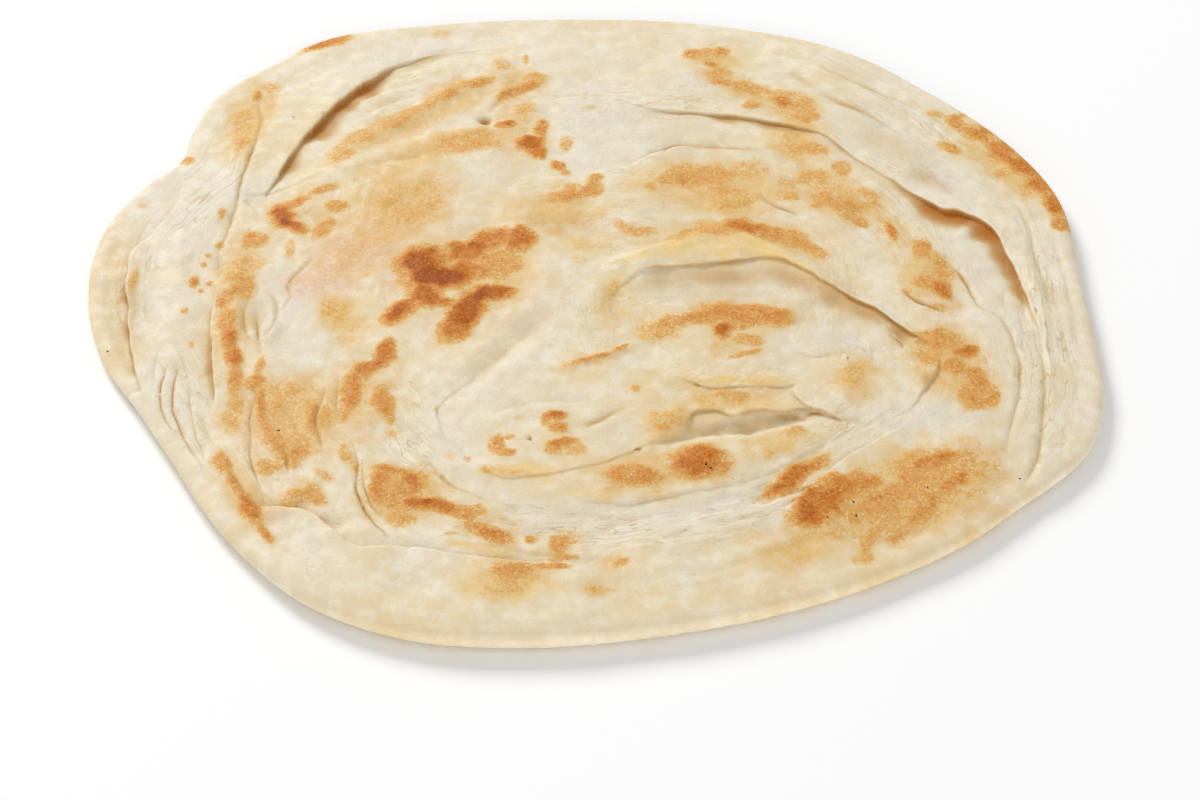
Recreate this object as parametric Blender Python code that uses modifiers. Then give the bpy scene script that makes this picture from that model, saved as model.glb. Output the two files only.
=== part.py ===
"""A paratha: a flaky griddle bread, coiled from a long pleated strip and rolled out flat.

The bread is one solid. It starts as a plain round-edged disc one unit thick, which is then
shaped: its outline is pulled out to the bread's uneven one, its two faces are set to their
heights, and the edges of the coiled layers are raised and sunk along smooth curves.

Lengths are in millimetres up to the last step, which turns them into metres.
"""

import math

import bmesh
import bpy
import numpy as np

NAME = "paratha"
MM = 0.001

# Driving sizes
MEAN_RADIUS = 90.0
CROWN_HEIGHT = 7.9
RIM_HEIGHT = 3.5
RIM_WAVE = 0.35
CROWN_POWER = 2.4
EDGE_ROUNDING = 2.4
FOOT_SHARE = 0.86
RIM_LIFT = 0.55
RIM_LIFT_WAVE = 0.3

# Fineness of the shaping, and of the solid that is left
STEPS = 216
TOP_RINGS = 58
FOOT_RINGS = 5
EDGE_POINTS = 7
FIRST_RING = 2.5
CURVE_STEP = 1.0
TRIANGLES = 9200

# The outline, as (angle in degrees, radius). The loose end of the strip makes the lobe
# between the two notches, at 151 and 207 degrees.
OUTLINE = (
    (-5, 91.7),
    (6, 91.3),
    (20, 95.0),
    (31, 95.2),
    (44, 94.6),
    (57, 95.8),
    (74, 93.6),
    (92, 92.2),
    (109, 95.0),
    (120, 99.2),
    (125.5, 99.5),
    (128.5, 98.4),
    (133, 98.3),
    (139, 97.4),
    (146, 93.1),
    (151, 89.5),
    (157, 91.5),
    (167, 93.2),
    (178, 91.2),
    (189, 87.7),
    (199, 83.5),
    (209, 82.1),
    (218, 83.3),
    (228, 85.5),
    (239, 88.0),
    (251, 87.7),
    (264, 85.0),
    (278, 82.9),
    (292, 83.3),
    (306, 85.4),
    (317, 88.2),
    (325, 90.2),
    (336, 94.9),
    (345, 94.4),
)

# Layer edges: (points, rise of the upper layer, drop of the lower one, reach of each).
# The upper layer lies to the left of the way each curve runs.
LAYER_EDGES = {
    "loose_end": (
        ((-78.5, 43), (-76.5, 27), (-84, 13), (-82.5, -5), (-80.5, -15), (-76, -34)),
        (0.25, 1.5, 6.0, 40.0),
    ),
    "upper_left_slit": (
        ((-60, 31), (-55, 47), (-46, 63), (-35, 74), (-18, 78)),
        (0.5, 0.9, 7.0, 5.0),
    ),
    "left_slit": (
        ((-65.5, 16), (-67, -6), (-65.2, -27)),
        (0.4, 0.8, 5.0, 4.0),
    ),
    "outer_turn": (
        ((6, 60), (20, 55.5), (40, 51), (56, 36), (68, 24), (77, 16), (80.5, -5)),
        (0.5, 0.8, 8.0, 6.0),
    ),
    "inner_turn": (
        ((35, 42.5), (21, 43.5), (8, 38)),
        (0.35, 0.4, 6.0, 5.0),
    ),
    "upper_pocket": (
        ((4, 8), (13, 11), (24.5, 16), (38, 7), (50, -4.5), (60, -14)),
        (0.7, 1.7, 5.0, 12.0),
    ),
    "lower_pocket": (
        ((9, -42), (16, -39), (20, -32), (31, -31.7), (42, -33)),
        (0.7, 1.1, 5.0, 4.0),
    ),
    "lower_pocket_flap": (
        ((10, -22), (22, -27), (35, -26)),
        (0.4, 0.5, 5.0, 4.0),
    ),
    "inner_ledge": (
        ((-22, -43), (-26, -33), (-16, -19), (-6, -8)),
        (0.5, 0.7, 7.0, 8.0),
    ),
    "front_roll": (
        ((-10, -68), (-37, -65), (-46, -56.5), (-54, -54.5)),
        (0.5, 0.9, 9.0, 6.0),
    ),
    "right_roll": (
        ((52, -37), (38, -50), (28, -59)),
        (0.35, 0.5, 9.0, 6.0),
    ),
}

# Creases pressed into the top: (points, depth, half width).
CREASES = {
    "double_crease": (((-39, -40), (-38, -51), (-33, -62)), (0.5, 1.6)),
    "left_pleat": (((-74.5, -22), (-74, -31), (-70, -41)), (0.5, 1.4)),
    "inner_pleat": (((-69, -24), (-67.5, -33), (-65, -42)), (0.5, 1.4)),
    "left_fold": (((-63.5, 56), (-66, 33), (-67.5, 12)), (0.5, 1.6)),
    "right_crease": (((81, -8), (79.5, -30), (71, -54)), (0.5, 1.8)),
    "right_inner_crease": (((68, 7), (75, -8), (75, -29), (72, -40)), (0.45, 1.6)),
    "rim_crease": (((82, 28), (83.5, 5), (84, 0)), (0.4, 1.5)),
}


def smooth_step(low, high, value):
    """0 below low, 1 above high, and a smooth rise between them."""
    share = np.clip((value - low) / (high - low), 0.0, 1.0)
    return share * share * (3.0 - 2.0 * share)


def outline_radius(angle):
    """The bread's radius at an angle in degrees, on a smooth closed curve through OUTLINE."""
    angles = np.array([a for a, _ in OUTLINE], float)
    radii = np.array([r for _, r in OUTLINE])
    gaps = np.diff(np.append(angles, angles[0] + 360.0))
    before = np.roll(gaps, 1)
    slopes = (np.roll(radii, -1) - np.roll(radii, 1)) / (gaps + before)
    turned = (angle - angles[0]) % 360.0 + angles[0]
    i = np.searchsorted(angles, turned, side="right") - 1
    j = (i + 1) % len(angles)
    t = (turned - angles[i]) / gaps[i]
    return (
        (2 * t**3 - 3 * t**2 + 1) * radii[i]
        + (t**3 - 2 * t**2 + t) * gaps[i] * slopes[i]
        + (3 * t**2 - 2 * t**3) * radii[j]
        + (t**3 - t**2) * gaps[i] * slopes[j]
    )


def smooth_curve(points):
    """Points every CURVE_STEP or so along a Catmull-Rom curve through the given ones."""
    p = np.array(points, float)
    p = np.vstack([2 * p[0] - p[1], p, 2 * p[-1] - p[-2]])
    pieces = []
    for a, b, c, d in zip(p[:-3], p[1:-2], p[2:-1], p[3:]):
        count = max(2, round(float(np.linalg.norm(c - b)) / CURVE_STEP))
        t = np.linspace(0.0, 1.0, count, endpoint=False)[:, None]
        bent = (2 * a - 5 * b + 4 * c - d) * t**2 + (3 * b - a - 3 * c + d) * t**3
        pieces.append(0.5 * (2 * b + (c - a) * t + bent))
    return np.vstack([*pieces, p[-2:-1]])


def beside(curve, xy):
    """How far each point lies to the left of a curve, and how far along it, from 0 to 1."""
    away = xy[:, None, :] - curve[None, :, :]
    nearest = np.argmin((away**2).sum(2), axis=1)
    forward = np.gradient(curve, axis=0)[nearest]
    forward /= np.linalg.norm(forward, axis=1)[:, None]
    offset = xy - curve[nearest]
    side = np.sign(forward[:, 0] * offset[:, 1] - forward[:, 1] * offset[:, 0])
    return side * np.linalg.norm(offset, axis=1), nearest / (len(curve) - 1)


def fade(along):
    """Full strength along a curve, down to nothing at its two ends."""
    return smooth_step(0.0, 0.18, along) * smooth_step(0.0, 0.18, 1.0 - along)


def layer_edge(xy, points, sizes):
    """The height that one layer's edge adds: up on its left, down on its right."""
    rise, drop, rise_reach, drop_reach = sizes
    left, along = beside(smooth_curve(points), xy)
    up = rise * np.exp(-np.maximum(left, 0.0) / rise_reach)
    down = -drop * np.exp(np.minimum(left, 0.0) / drop_reach)
    return fade(along) * (down + (up - down) * smooth_step(-1.0, 1.0, left))


def crease(xy, points, sizes):
    """The height that one pressed crease takes away."""
    depth, half_width = sizes
    left, along = beside(smooth_curve(points), xy)
    return -depth * fade(along) * np.exp(-((left / half_width) ** 2))


def relief(xy):
    """All layer edges and creases of the top, together."""
    height = np.zeros(len(xy))
    for points, sizes in LAYER_EDGES.values():
        height += layer_edge(xy, points, sizes)
    for points, sizes in CREASES.values():
        height += crease(xy, points, sizes)
    return height


def unit_disc():
    """A disc of MEAN_RADIUS, one unit thick, with a half-round edge: a turned profile."""
    inner = MEAN_RADIUS - EDGE_ROUNDING
    top = [(0.0, 1.0)]
    top += [(r, 1.0) for r in np.linspace(FIRST_RING, inner, TOP_RINGS)]
    edge = []
    for turn in np.linspace(math.pi / 2, -math.pi / 2, EDGE_POINTS)[1:-1]:
        edge.append((inner + EDGE_ROUNDING * math.cos(turn), 0.5 + 0.5 * math.sin(turn)))
    foot = [(r, 0.0) for r in np.linspace(inner, FOOT_SHARE * MEAN_RADIUS, FOOT_RINGS)]
    profile = top + edge + foot + [(0.0, 0.0)]

    mesh = bpy.data.meshes.new(NAME + "_profile")
    joints = [(i, i + 1) for i in range(len(profile) - 1)]
    mesh.from_pydata([(r, 0.0, u) for r, u in profile], joints, [])
    turned = bpy.data.objects.new(NAME + "_profile", mesh)
    bpy.context.scene.collection.objects.link(turned)
    screw = turned.modifiers.new("Turn", "SCREW")
    screw.steps = STEPS
    screw.render_steps = STEPS
    screw.use_merge_vertices = True
    screw.merge_threshold = 0.0001
    bpy.context.view_layer.update()
    disc = bpy.data.meshes.new_from_object(
        turned.evaluated_get(bpy.context.evaluated_depsgraph_get())
    )
    bpy.data.objects.remove(turned)
    return disc


def shape(mesh):
    """Turn the unit disc into the bread, in metres, on Z = 0 and centred on the origin."""
    flat = np.empty(len(mesh.vertices) * 3)
    mesh.vertices.foreach_get("co", flat)
    x, y, level = flat.reshape(-1, 3).T
    share = np.hypot(x, y) / MEAN_RADIUS
    turn = np.arctan2(y, x)
    radius = share * outline_radius(np.degrees(turn))
    xy = np.column_stack([radius * np.cos(turn), radius * np.sin(turn)])

    rim = RIM_HEIGHT + RIM_WAVE * np.sin(3 * turn + 0.6) * share**4
    top = rim + (CROWN_HEIGHT - RIM_HEIGHT) * (1.0 - share**CROWN_POWER)
    top += relief(xy) * smooth_step(1.0, 0.95, share)
    lift = RIM_LIFT + RIM_LIFT_WAVE * np.sin(2 * turn + 1.1)
    foot = lift * smooth_step(FOOT_SHARE, 1.0, share)
    z = foot + level * (top - foot)

    middle = (xy.min(0) + xy.max(0)) / 2
    placed = np.column_stack([xy - middle, z - z.min()]) * MM
    mesh.vertices.foreach_set("co", placed.ravel())
    mesh.update()


def crust_material():
    """Cream dough, dry to slightly oily."""
    material = bpy.data.materials.new("crust")
    material.use_nodes = True
    shader = material.node_tree.nodes["Principled BSDF"]
    shader.inputs["Base Color"].default_value = (0.80, 0.68, 0.48, 1.0)
    shader.inputs["Roughness"].default_value = 0.55
    shader.inputs["Metallic"].default_value = 0.0
    material.diffuse_color = (0.80, 0.68, 0.48, 1.0)
    return material


def paratha():
    """The bread as one object, thinned out where it is smooth."""
    mesh = unit_disc()
    shape(mesh)
    mesh.name = NAME
    mesh.materials.clear()
    mesh.materials.append(crust_material())
    work = bmesh.new()
    work.from_mesh(mesh)
    bmesh.ops.triangulate(work, faces=work.faces[:])
    count = len(work.faces)
    work.to_mesh(mesh)
    work.free()
    mesh.shade_smooth()
    bread = bpy.data.objects.new(NAME, mesh)
    thin = bread.modifiers.new("Thin", "DECIMATE")
    thin.ratio = TRIANGLES / count
    return bread


def main():
    for old in list(bpy.data.objects):
        bpy.data.objects.remove(old)
    parts = bpy.data.collections.new(NAME)
    bpy.context.scene.collection.children.link(parts)
    parts.objects.link(paratha())


main()
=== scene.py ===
"""The looks of a paratha, a flaky griddle bread: its layers, wrinkles, blisters and browning.

The bread is one closed mesh that stands for the CAD solid. Its top is a net of triangles, close
along every layer edge and wider between them. A function of the place gives each point its height,
its sideways shift (which makes lips that hang over), how browned, oily, mealy or pink it is, and the
shade and the glow of thin lips that are painted into its colour.

Lengths are in millimetres, from a middle near the bread's own, up to the last step.
"""

import math

import bmesh
import bpy
import numpy as np
from mathutils import Matrix, Vector, kdtree, noise
from mathutils.geometry import delaunay_2d_cdt

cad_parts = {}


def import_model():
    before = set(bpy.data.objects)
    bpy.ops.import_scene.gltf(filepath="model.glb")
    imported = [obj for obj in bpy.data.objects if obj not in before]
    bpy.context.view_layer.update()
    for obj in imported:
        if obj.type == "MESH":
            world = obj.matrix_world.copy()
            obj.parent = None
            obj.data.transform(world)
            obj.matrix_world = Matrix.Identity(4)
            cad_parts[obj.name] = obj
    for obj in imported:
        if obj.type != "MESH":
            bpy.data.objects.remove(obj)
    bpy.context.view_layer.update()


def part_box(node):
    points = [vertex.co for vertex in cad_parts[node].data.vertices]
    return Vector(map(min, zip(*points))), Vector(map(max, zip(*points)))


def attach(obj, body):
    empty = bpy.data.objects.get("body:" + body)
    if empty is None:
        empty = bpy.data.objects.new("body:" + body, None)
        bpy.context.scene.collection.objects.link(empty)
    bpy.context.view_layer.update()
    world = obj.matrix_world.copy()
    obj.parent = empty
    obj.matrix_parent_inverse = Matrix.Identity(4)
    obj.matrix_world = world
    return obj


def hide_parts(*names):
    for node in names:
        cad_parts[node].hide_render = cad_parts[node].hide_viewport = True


MM = 0.001

# ---------------------------------------------------------------- the bread's sizes

# Heights and widths of the plain domed shape, under all the layers and wrinkles.
CROWN_HEIGHT = 7.2
RIM_HEIGHT = 3.5
RIM_WAVE = 0.35
CROWN_POWER = 2.4
EDGE_ROUNDING = 2.4
FOOT_SHARE = 0.86
RIM_LIFT = 0.55
RIM_LIFT_WAVE = 0.3

# The net: its points round the rim, its steps, and the rows of points beside each curve, as
# distances to the left. CLOSEST is how near two points of those rows may lie.
RIM_POINTS = 760
EDGE_ROWS = 11
NET_STEP = 0.66
FOOT_STEP = 2.6
CURVE_STEP = 0.5
ROW_STEP = 0.55
LEDGE_ROWS = (-1.9, -1.35, -0.95, -0.65, -0.42, -0.22, 0.0, 0.22, 0.42, 0.65, 0.95, 1.35, 1.9)
CREASE_ROWS = (-1.0, -0.5, -0.2, 0.0, 0.2, 0.5, 1.0)
CLOSEST = 0.17
GRID_REACH = 100.0

# The coil that the strip was rolled into: its middle and its mean radius.
COIL_MIDDLE = (12.0, -14.0)
COIL_RADIUS = 90.0

# The outline, as (angle in degrees, radius). The loose end of the strip makes the lobe
# between the two notches, at 151 and 209 degrees.
OUTLINE = (
    (-5, 91.7), (6, 91.3), (20, 95), (31, 95.2), (44, 94.6), (57, 95.8), (74, 93.6), (92, 92.2),
    (109, 95), (120, 99.2), (125.5, 99.5), (128.5, 98.4), (133, 98.3), (139, 97.4), (146, 93.1),
    (151, 89.5), (157, 91.5), (167, 93.2), (178, 91.2), (189, 87.7), (199, 83.5), (209, 82.1),
    (218, 83.3), (228, 85.5), (239, 88), (251, 87.7), (264, 85), (278, 82.9), (292, 83.3), (306, 85.4),
    (317, 88.2), (325, 90.2), (336, 94.9), (345, 94.4),
)

# Layer edges. Each curve has points (x, y, strength), and the upper layer lies to the left of the
# way it runs. Sizes: rise of the upper layer, drop of the lower one, reach of each, overhang.
# Slit: how much shade is painted into the gap under the lip and beside it, and its width.
LEDGES = {
    "loose_end": (
        ((-78.5, 43, 0.3), (-77.3, 35, 0.35), (-77.5, 27, 0.3), (-80.5, 20, 0.45), (-84, 13, 0.85),
         (-84, 5, 1), (-82.5, -5, 1), (-80.7, -15, 1), (-79, -21, 0.9), (-77.2, -27, 0.6)),
        (0.7, 1.4, 6.0, 30.0, 0.35),
        (0.5, 1.0),
    ),
    "upper_left_slit": (
        ((-60.5, 31, 0.4), (-57, 42, 0.85), (-51.5, 54.5, 1), (-46, 63, 1), (-42, 68, 0.8),
         (-37, 73.5, 0.42), (-30, 76.7, 0.18), (-18, 79, 0.05)),
        (0.6, 1.0, 6.0, 4.5, 0.45),
        (0.66, 3.6),
    ),
    "left_slit": (
        ((-66.6, 8, 0.3), (-67.4, -2, 0.55), (-67.4, -8, 0.8), (-66.6, -14, 1), (-65.8, -20, 1),
         (-65.2, -24, 0.8), (-65, -27.6, 0.4)),
        (0.5, 1.2, 4.0, 3.0, 0.35),
        (0.5, 1.4),
    ),
    "outer_turn": (
        ((6, 60, 0.2), (14, 55.8, 0.45), (22, 55.3, 0.55), (30, 54, 0.65), (38, 52, 0.7),
         (46, 48, 0.6), (53, 39, 0.45), (60, 31.5, 0.6), (66, 25.6, 0.95), (70, 24.8, 1),
         (75, 21, 1), (78, 12, 0.9), (79.6, 3, 0.7), (81, -8, 0.3)),
        (0.5, 0.8, 7.0, 5.0, 0.45),
        (0.75, 4.0),
    ),
    "inner_turn": (
        ((35, 42.5, 0.6), (27, 43.2, 0.9), (19, 43.5, 1), (12, 40.5, 0.7), (7, 37.5, 0.3)),
        (0.4, 0.6, 5.0, 4.0, 0.3),
        (0.5, 1.4),
    ),
    "upper_pocket": (
        ((2, -6, 0.05), (4.5, -2, 0.12), (7, 2.2, 0.3), (10, 5.6, 0.6), (15, 6.8, 0.75),
         (22, 8, 0.8), (30, 9, 0.8), (35, 8.8, 0.85), (39, 6.2, 1), (43.2, 2.6, 1.1), (48.6, -2.2, 1.2),
         (55, -7.9, 1.2), (61, -13.6, 0.6)),
        (0.0, 0.8, 5.0, 12.0, 0.5),
        (0.5, 1.0),
    ),
    "lower_pocket": (
        ((8.5, -42.7, 0.3), (13, -40, 0.5), (16.4, -38.4, 0.6), (17.8, -35, 0.7), (19, -32.6, 0.85),
         (22.5, -32, 1), (25.5, -33.2, 1), (29, -32, 1), (34.5, -31.8, 1), (38, -31.3, 1),
         (43, -33.4, 0.7)),
        (0.3, 0.45, 4.5, 5.0, 0.28),
        (0.45, 0.5),
    ),
    "pocket_flap": (
        ((9, -22, 0.3), (14, -23.4, 0.6), (19, -26.1, 0.85), (23, -27.2, 1), (29, -26.6, 1),
         (34.5, -26, 0.9), (36.4, -25.4, 0.5)),
        (0.2, 0.1, 3.5, 4.0, 0.08),
        (0.3, 0.2),
    ),
    "round_lobe": (
        ((36.4, -26.6, 0.3), (36.6, -28.6, 0.9), (38.2, -30.9, 1), (40.6, -32.4, 1), (43.5, -33.4, 0.5)),
        (0.36, 0.25, 4.0, 2.5, 0.16),
        (0.34, 0.4),
    ),
    "lobe_right_edge": (
        ((52, -34, 0.1), (56, -31, 0.3), (59, -26, 0.8), (61, -22.5, 1), (62.3, -19, 0.6)),
        (0.4, 0.4, 4.0, 3.0, 0.22),
        (0.32, 0.6),
    ),
    "inner_ledge": (
        ((-21.5, -42.5, 0.6), (-24.4, -39.5, 0.7), (-25.2, -36.5, 0.45), (-26, -33, 0.9),
         (-25.3, -30.5, 0.9), (-22, -26.5, 0.45), (-16, -19, 0.15), (-10, -12, 0.1)),
        (0.24, 0.22, 6.0, 6.0, 0.14),
        (0.18, 0.6),
    ),
    "inner_wall": (
        ((-28, -37, 0.3), (-27.6, -42, 0.5), (-25.5, -46.8, 0.75), (-23.6, -49.8, 1),
         (-20, -52.8, 0.6), (-15, -55, 0.4), (-7, -56.5, 0.2)),
        (0.36, 0.3, 4.0, 4.0, 0.14),
        (0.2, 0.4),
    ),
    "middle_ledge": (
        ((-17, -48, 0.4), (-13.5, -49.6, 0.8), (-9, -49.3, 0.9), (-4, -47.7, 0.7),
         (2, -46, 0.7), (6, -44, 0.6), (9, -42.3, 0.4)),
        (0.24, 0.18, 4.0, 4.0, 0.1),
        (0.32, 0.3),
    ),
    "front_roll": (
        ((0, -68.6, 0.25), (-12, -68, 0.5), (-20, -66.6, 0.5), (-29, -65.2, 0.7),
         (-37, -65, 0.85), (-41.5, -61.5, 1), (-46.3, -56.4, 1), (-50, -55.2, 0.8),
         (-55, -54, 0.4)),
        (0.85, 0.95, 7.0, 4.0, 0.4),
        (0.28, 1.2),
    ),
    "right_roll": (
        ((55, -34.5, 0.15), (50, -38.5, 0.35), (45, -43, 0.5), (40, -48, 0.65), (36, -53, 0.7),
         (30, -57.5, 0.5), (22, -60.5, 0.25)),
        (0.5, 0.6, 6.0, 4.0, 0.3),
        (0.14, 1.0),
    ),
    "strip_lower_edge": (
        ((46.5, -35.8, 0.2), (38, -42, 0.4), (30, -47.8, 0.5), (22, -51, 0.6), (13, -53.2, 0.8),
         (7, -54.8, 0.7), (0, -54.6, 0.3)),
        (0.35, 0.3, 3.0, 3.5, 0.08),
        (0.08, 0.5),
    ),
}
# The strip's cushion lies above its lower edge, so the way that one runs is turned round.
TURNED_ROUND = ("strip_lower_edge",)

# Creases pressed into the top: points (x, y, strength), then depth, half width, and the shade painted into
# the groove.
CREASES = {
    "double_crease_left": (
        ((-40, -40, 0.3), (-38.7, -45, 0.6), (-38.6, -51, 0.9), (-36.5, -56.5, 1), (-33, -62, 0.7)),
        (0.4, 0.34, 0.6),
    ),
    "double_crease_right": (
        ((-38, -44.5, 0.4), (-37.4, -50, 0.7), (-36, -54.5, 1), (-34.2, -57, 0.6)),
        (0.3, 0.3, 0.55),
    ),
    "left_pleat_1": (
        ((-74.2, -18, 0.4), (-74.6, -24, 1), (-73.4, -31, 0.9), (-70.6, -37, 0.4)),
        (0.22, 0.3, 0.5),
    ),
    "left_pleat_2": (
        ((-72.2, -19, 0.5), (-72.6, -25, 1), (-71.2, -32, 1), (-68.2, -39, 0.6), (-65.4, -44, 0.3)),
        (0.26, 0.32, 0.6),
    ),
    "left_pleat_3": (
        ((-70, -22, 0.3), (-69.4, -28, 0.9), (-67.6, -35, 0.8), (-65.3, -42.5, 0.4)),
        (0.22, 0.3, 0.5),
    ),
    "left_pleat_4": (((-66.5, -31, 0.4), (-65.6, -35, 0.8), (-64, -39, 0.5)), (0.2, 0.32, 0.35)),
    "left_pleat_5": (((-76.2, -15, 0.4), (-76.2, -20, 0.8), (-75.6, -25, 0.3)), (0.2, 0.32, 0.3)),
    "left_fold": (
        ((-64.5, 62, 0.4), (-63.6, 53, 0.8), (-64.2, 46, 0.9), (-65.6, 38, 1), (-65.8, 31, 0.9),
         (-66, 26, 0.7), (-67.2, 17, 0.7), (-67.8, 8, 0.4)),
        (0.4, 0.5, 0.45),
    ),
    "far_crease_1": (((43, 76, 0.4), (51, 68.5, 0.8), (60, 62, 0.8), (67, 59, 0.3)), (0.45, 1.3, 0.3)),
    "far_crease_2": (((41, 70, 0.4), (48, 61.5, 0.9), (54, 56.5, 0.9), (59, 52, 0.5)), (0.55, 1.6, 0.36)),
    "far_crease_3": (((30, 81, 0.3), (42, 76, 0.7), (52, 71, 0.7), (62, 63, 0.4)), (0.35, 1.0, 0.15)),
    "far_crease_4": (((63, 41, 0.4), (66, 36, 0.8), (69, 30, 0.6)), (0.4, 1.2, 0.3)),
    "valley_side": (((-48, 35, 0.4), (-40, 38.6, 0.8), (-32, 40.6, 0.6)), (0.35, 1.2, 0.2)),
    "knot_1": (((-64.5, 30, 0.5), (-61, 30.2, 0.6), (-57, 32, 0.6), (-50, 35.5, 0.3)), (0.3, 0.5, 0.3)),
    "knot_2": (((-64.5, 28.5, 0.6), (-62, 25, 0.6), (-61, 20, 0.3)), (0.3, 0.5, 0.3)),
    "torn_crack": (
        ((-50.6, 9.5, 0.4), (-52.8, 6, 0.9), (-54.3, 2.2, 1), (-53.8, -1, 0.7), (-55.2, -4.8, 0.4)),
        (0.25, 0.55, 0.4),
    ),
    "torn_edge_1": (
        ((-61, -1, 0.4), (-61.8, -5.5, 0.9), (-60.6, -10.5, 0.8), (-58.4, -14, 0.4)),
        (0.3, 0.5, 0.3),
    ),
    "torn_edge_2": (
        ((-57.8, 1, 0.4), (-55.8, -3, 0.9), (-55.8, -8, 0.8), (-57.4, -12, 0.5)),
        (0.3, 0.5, 0.3),
    ),
    "sunken_line": (((-59.6, -4, 0.4), (-58.6, -10, 0.9), (-57.8, -16, 0.5)), (0.5, 0.45, 0.5)),
    "wrinkle_1": (
        ((-57.3, -25, 0.4), (-58.1, -32, 0.8), (-57.6, -39, 0.8), (-56.8, -45, 0.9), (-54, -53, 0.5)),
        (0.35, 0.36, 0.6),
    ),
    "wrinkle_2": (((-45.8, -27, 0.4), (-46.6, -33, 0.9), (-45.2, -40.5, 0.5)), (0.45, 0.36, 0.6)),
    "wrinkle_3": (((-51.8, -40, 0.5), (-51, -43.5, 0.9), (-50.3, -47, 0.5)), (0.4, 0.36, 0.5)),
    "wrinkle_4": (((-60.5, -44, 0.5), (-58.5, -49, 0.8), (-55.5, -54, 0.5)), (0.45, 0.4, 0.5)),
    "wrinkle_5": (((-43.4, -24, 0.4), (-43.6, -29, 0.8), (-42.8, -34, 0.5)), (0.4, 0.36, 0.5)),
    "pocket_floor_edge": (
        ((13, -41, 0.5), (19, -38.9, 0.7), (26, -37, 0.7), (34, -34.8, 0.6), (41.5, -33.6, 0.4)),
        (0.3, 0.8, 0.0),
    ),
    "pocket_end_1": (((54.2, -11.2, 0.5), (55.8, -12.6, 0.9), (56.5, -14.4, 0.7)), (0.35, 0.35, 0.6)),
    "right_crease_1": (
        ((80.8, 30, 0.3), (82.3, 21, 0.8), (83, 12, 0.9), (83.8, 3, 0.6), (84, -4, 0.3)),
        (0.4, 0.7, 0.3),
    ),
    "right_crease_2": (((86.6, 19, 0.4), (87.5, 10, 0.8), (88, 0, 0.8), (88, -11, 0.4)), (0.35, 0.8, 0.2)),
    "right_crease_3": (
        ((67, 9, 0.4), (68.6, 5, 1), (70.2, 0, 1), (71.5, -3, 0.6), (74.5, -5.5, 0.6),
         (76, -12, 0.7), (76.6, -19, 0.7), (75, -29, 0.6), (72, -40, 0.3)),
        (0.5, 0.5, 0.5),
    ),
    "right_crease_4": (
        ((81, -9, 0.4), (80.5, -21, 0.8), (79.3, -32, 0.9), (76.8, -43, 0.8), (71, -54, 0.4)),
        (0.45, 0.7, 0.35),
    ),
    "right_crease_5": (((80, -30, 0.4), (82.6, -36, 0.8), (80.5, -45, 0.5)), (0.35, 0.7, 0.2)),
    "small_crease": (((57.5, 0.8, 0.5), (59.7, -1.8, 1), (64.2, -4.7, 0.6)), (0.5, 0.4, 0.6)),
    "small_v": (((32.6, 30, 0.4), (34.4, 26, 0.9), (36.7, 23.9, 1), (39.5, 21.7, 0.5)), (0.5, 0.6, 0.4)),
    "soft_fold": (((-19, 56, 0.5), (-17.2, 59.5, 0.8), (-14.5, 62.5, 0.4)), (0.35, 0.8, 0.3)),
    "soft_valley": (
        ((-24, -29, 0.5), (-18.5, -22.5, 1), (-12.5, -14.5, 1), (-7, -8, 0.6)),
        (0.75, 2.2, 0.16),
    ),
    "faint_ledge": (((-16, -33.3, 0.4), (-9, -30.7, 0.7), (1, -30.2, 0.5)), (0.25, 0.8, 0.2)),
    "grey_fold": (((0.5, -36.6, 0.8), (3.5, -34.6, 0.8), (8, -31.6, 0.4)), (0.4, 1.0, 0.45)),
    "lobe_inner_line": (((43, -33.2, 0.6), (48, -34.6, 0.5), (53, -35.8, 0.3)), (0.25, 0.7, 0.2)),
    "far_line": (((37, -17, 0.4), (41, -18, 0.8), (45.5, -16.8, 0.5)), (0.25, 0.6, 0.3)),
    "front_line_1": (
        ((-22, -64, 0.4), (-14, -64.8, 0.6), (-6, -66.6, 0.5), (2, -67.6, 0.3)),
        (0.3, 0.6, 0.3),
    ),
    "front_line_2": (((8, -63.4, 0.4), (16, -62.2, 0.6), (26, -61, 0.3)), (0.3, 0.9, 0.15)),
    "front_line_3": (((18, -71, 0.4), (28, -67, 0.6), (38, -62, 0.4)), (0.3, 1.1, 0.15)),
    "upper_line_3": (((-10, 60, 0.4), (0, 62, 0.6), (10, 64, 0.4)), (0.25, 1.0, 0.12)),
}

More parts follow.
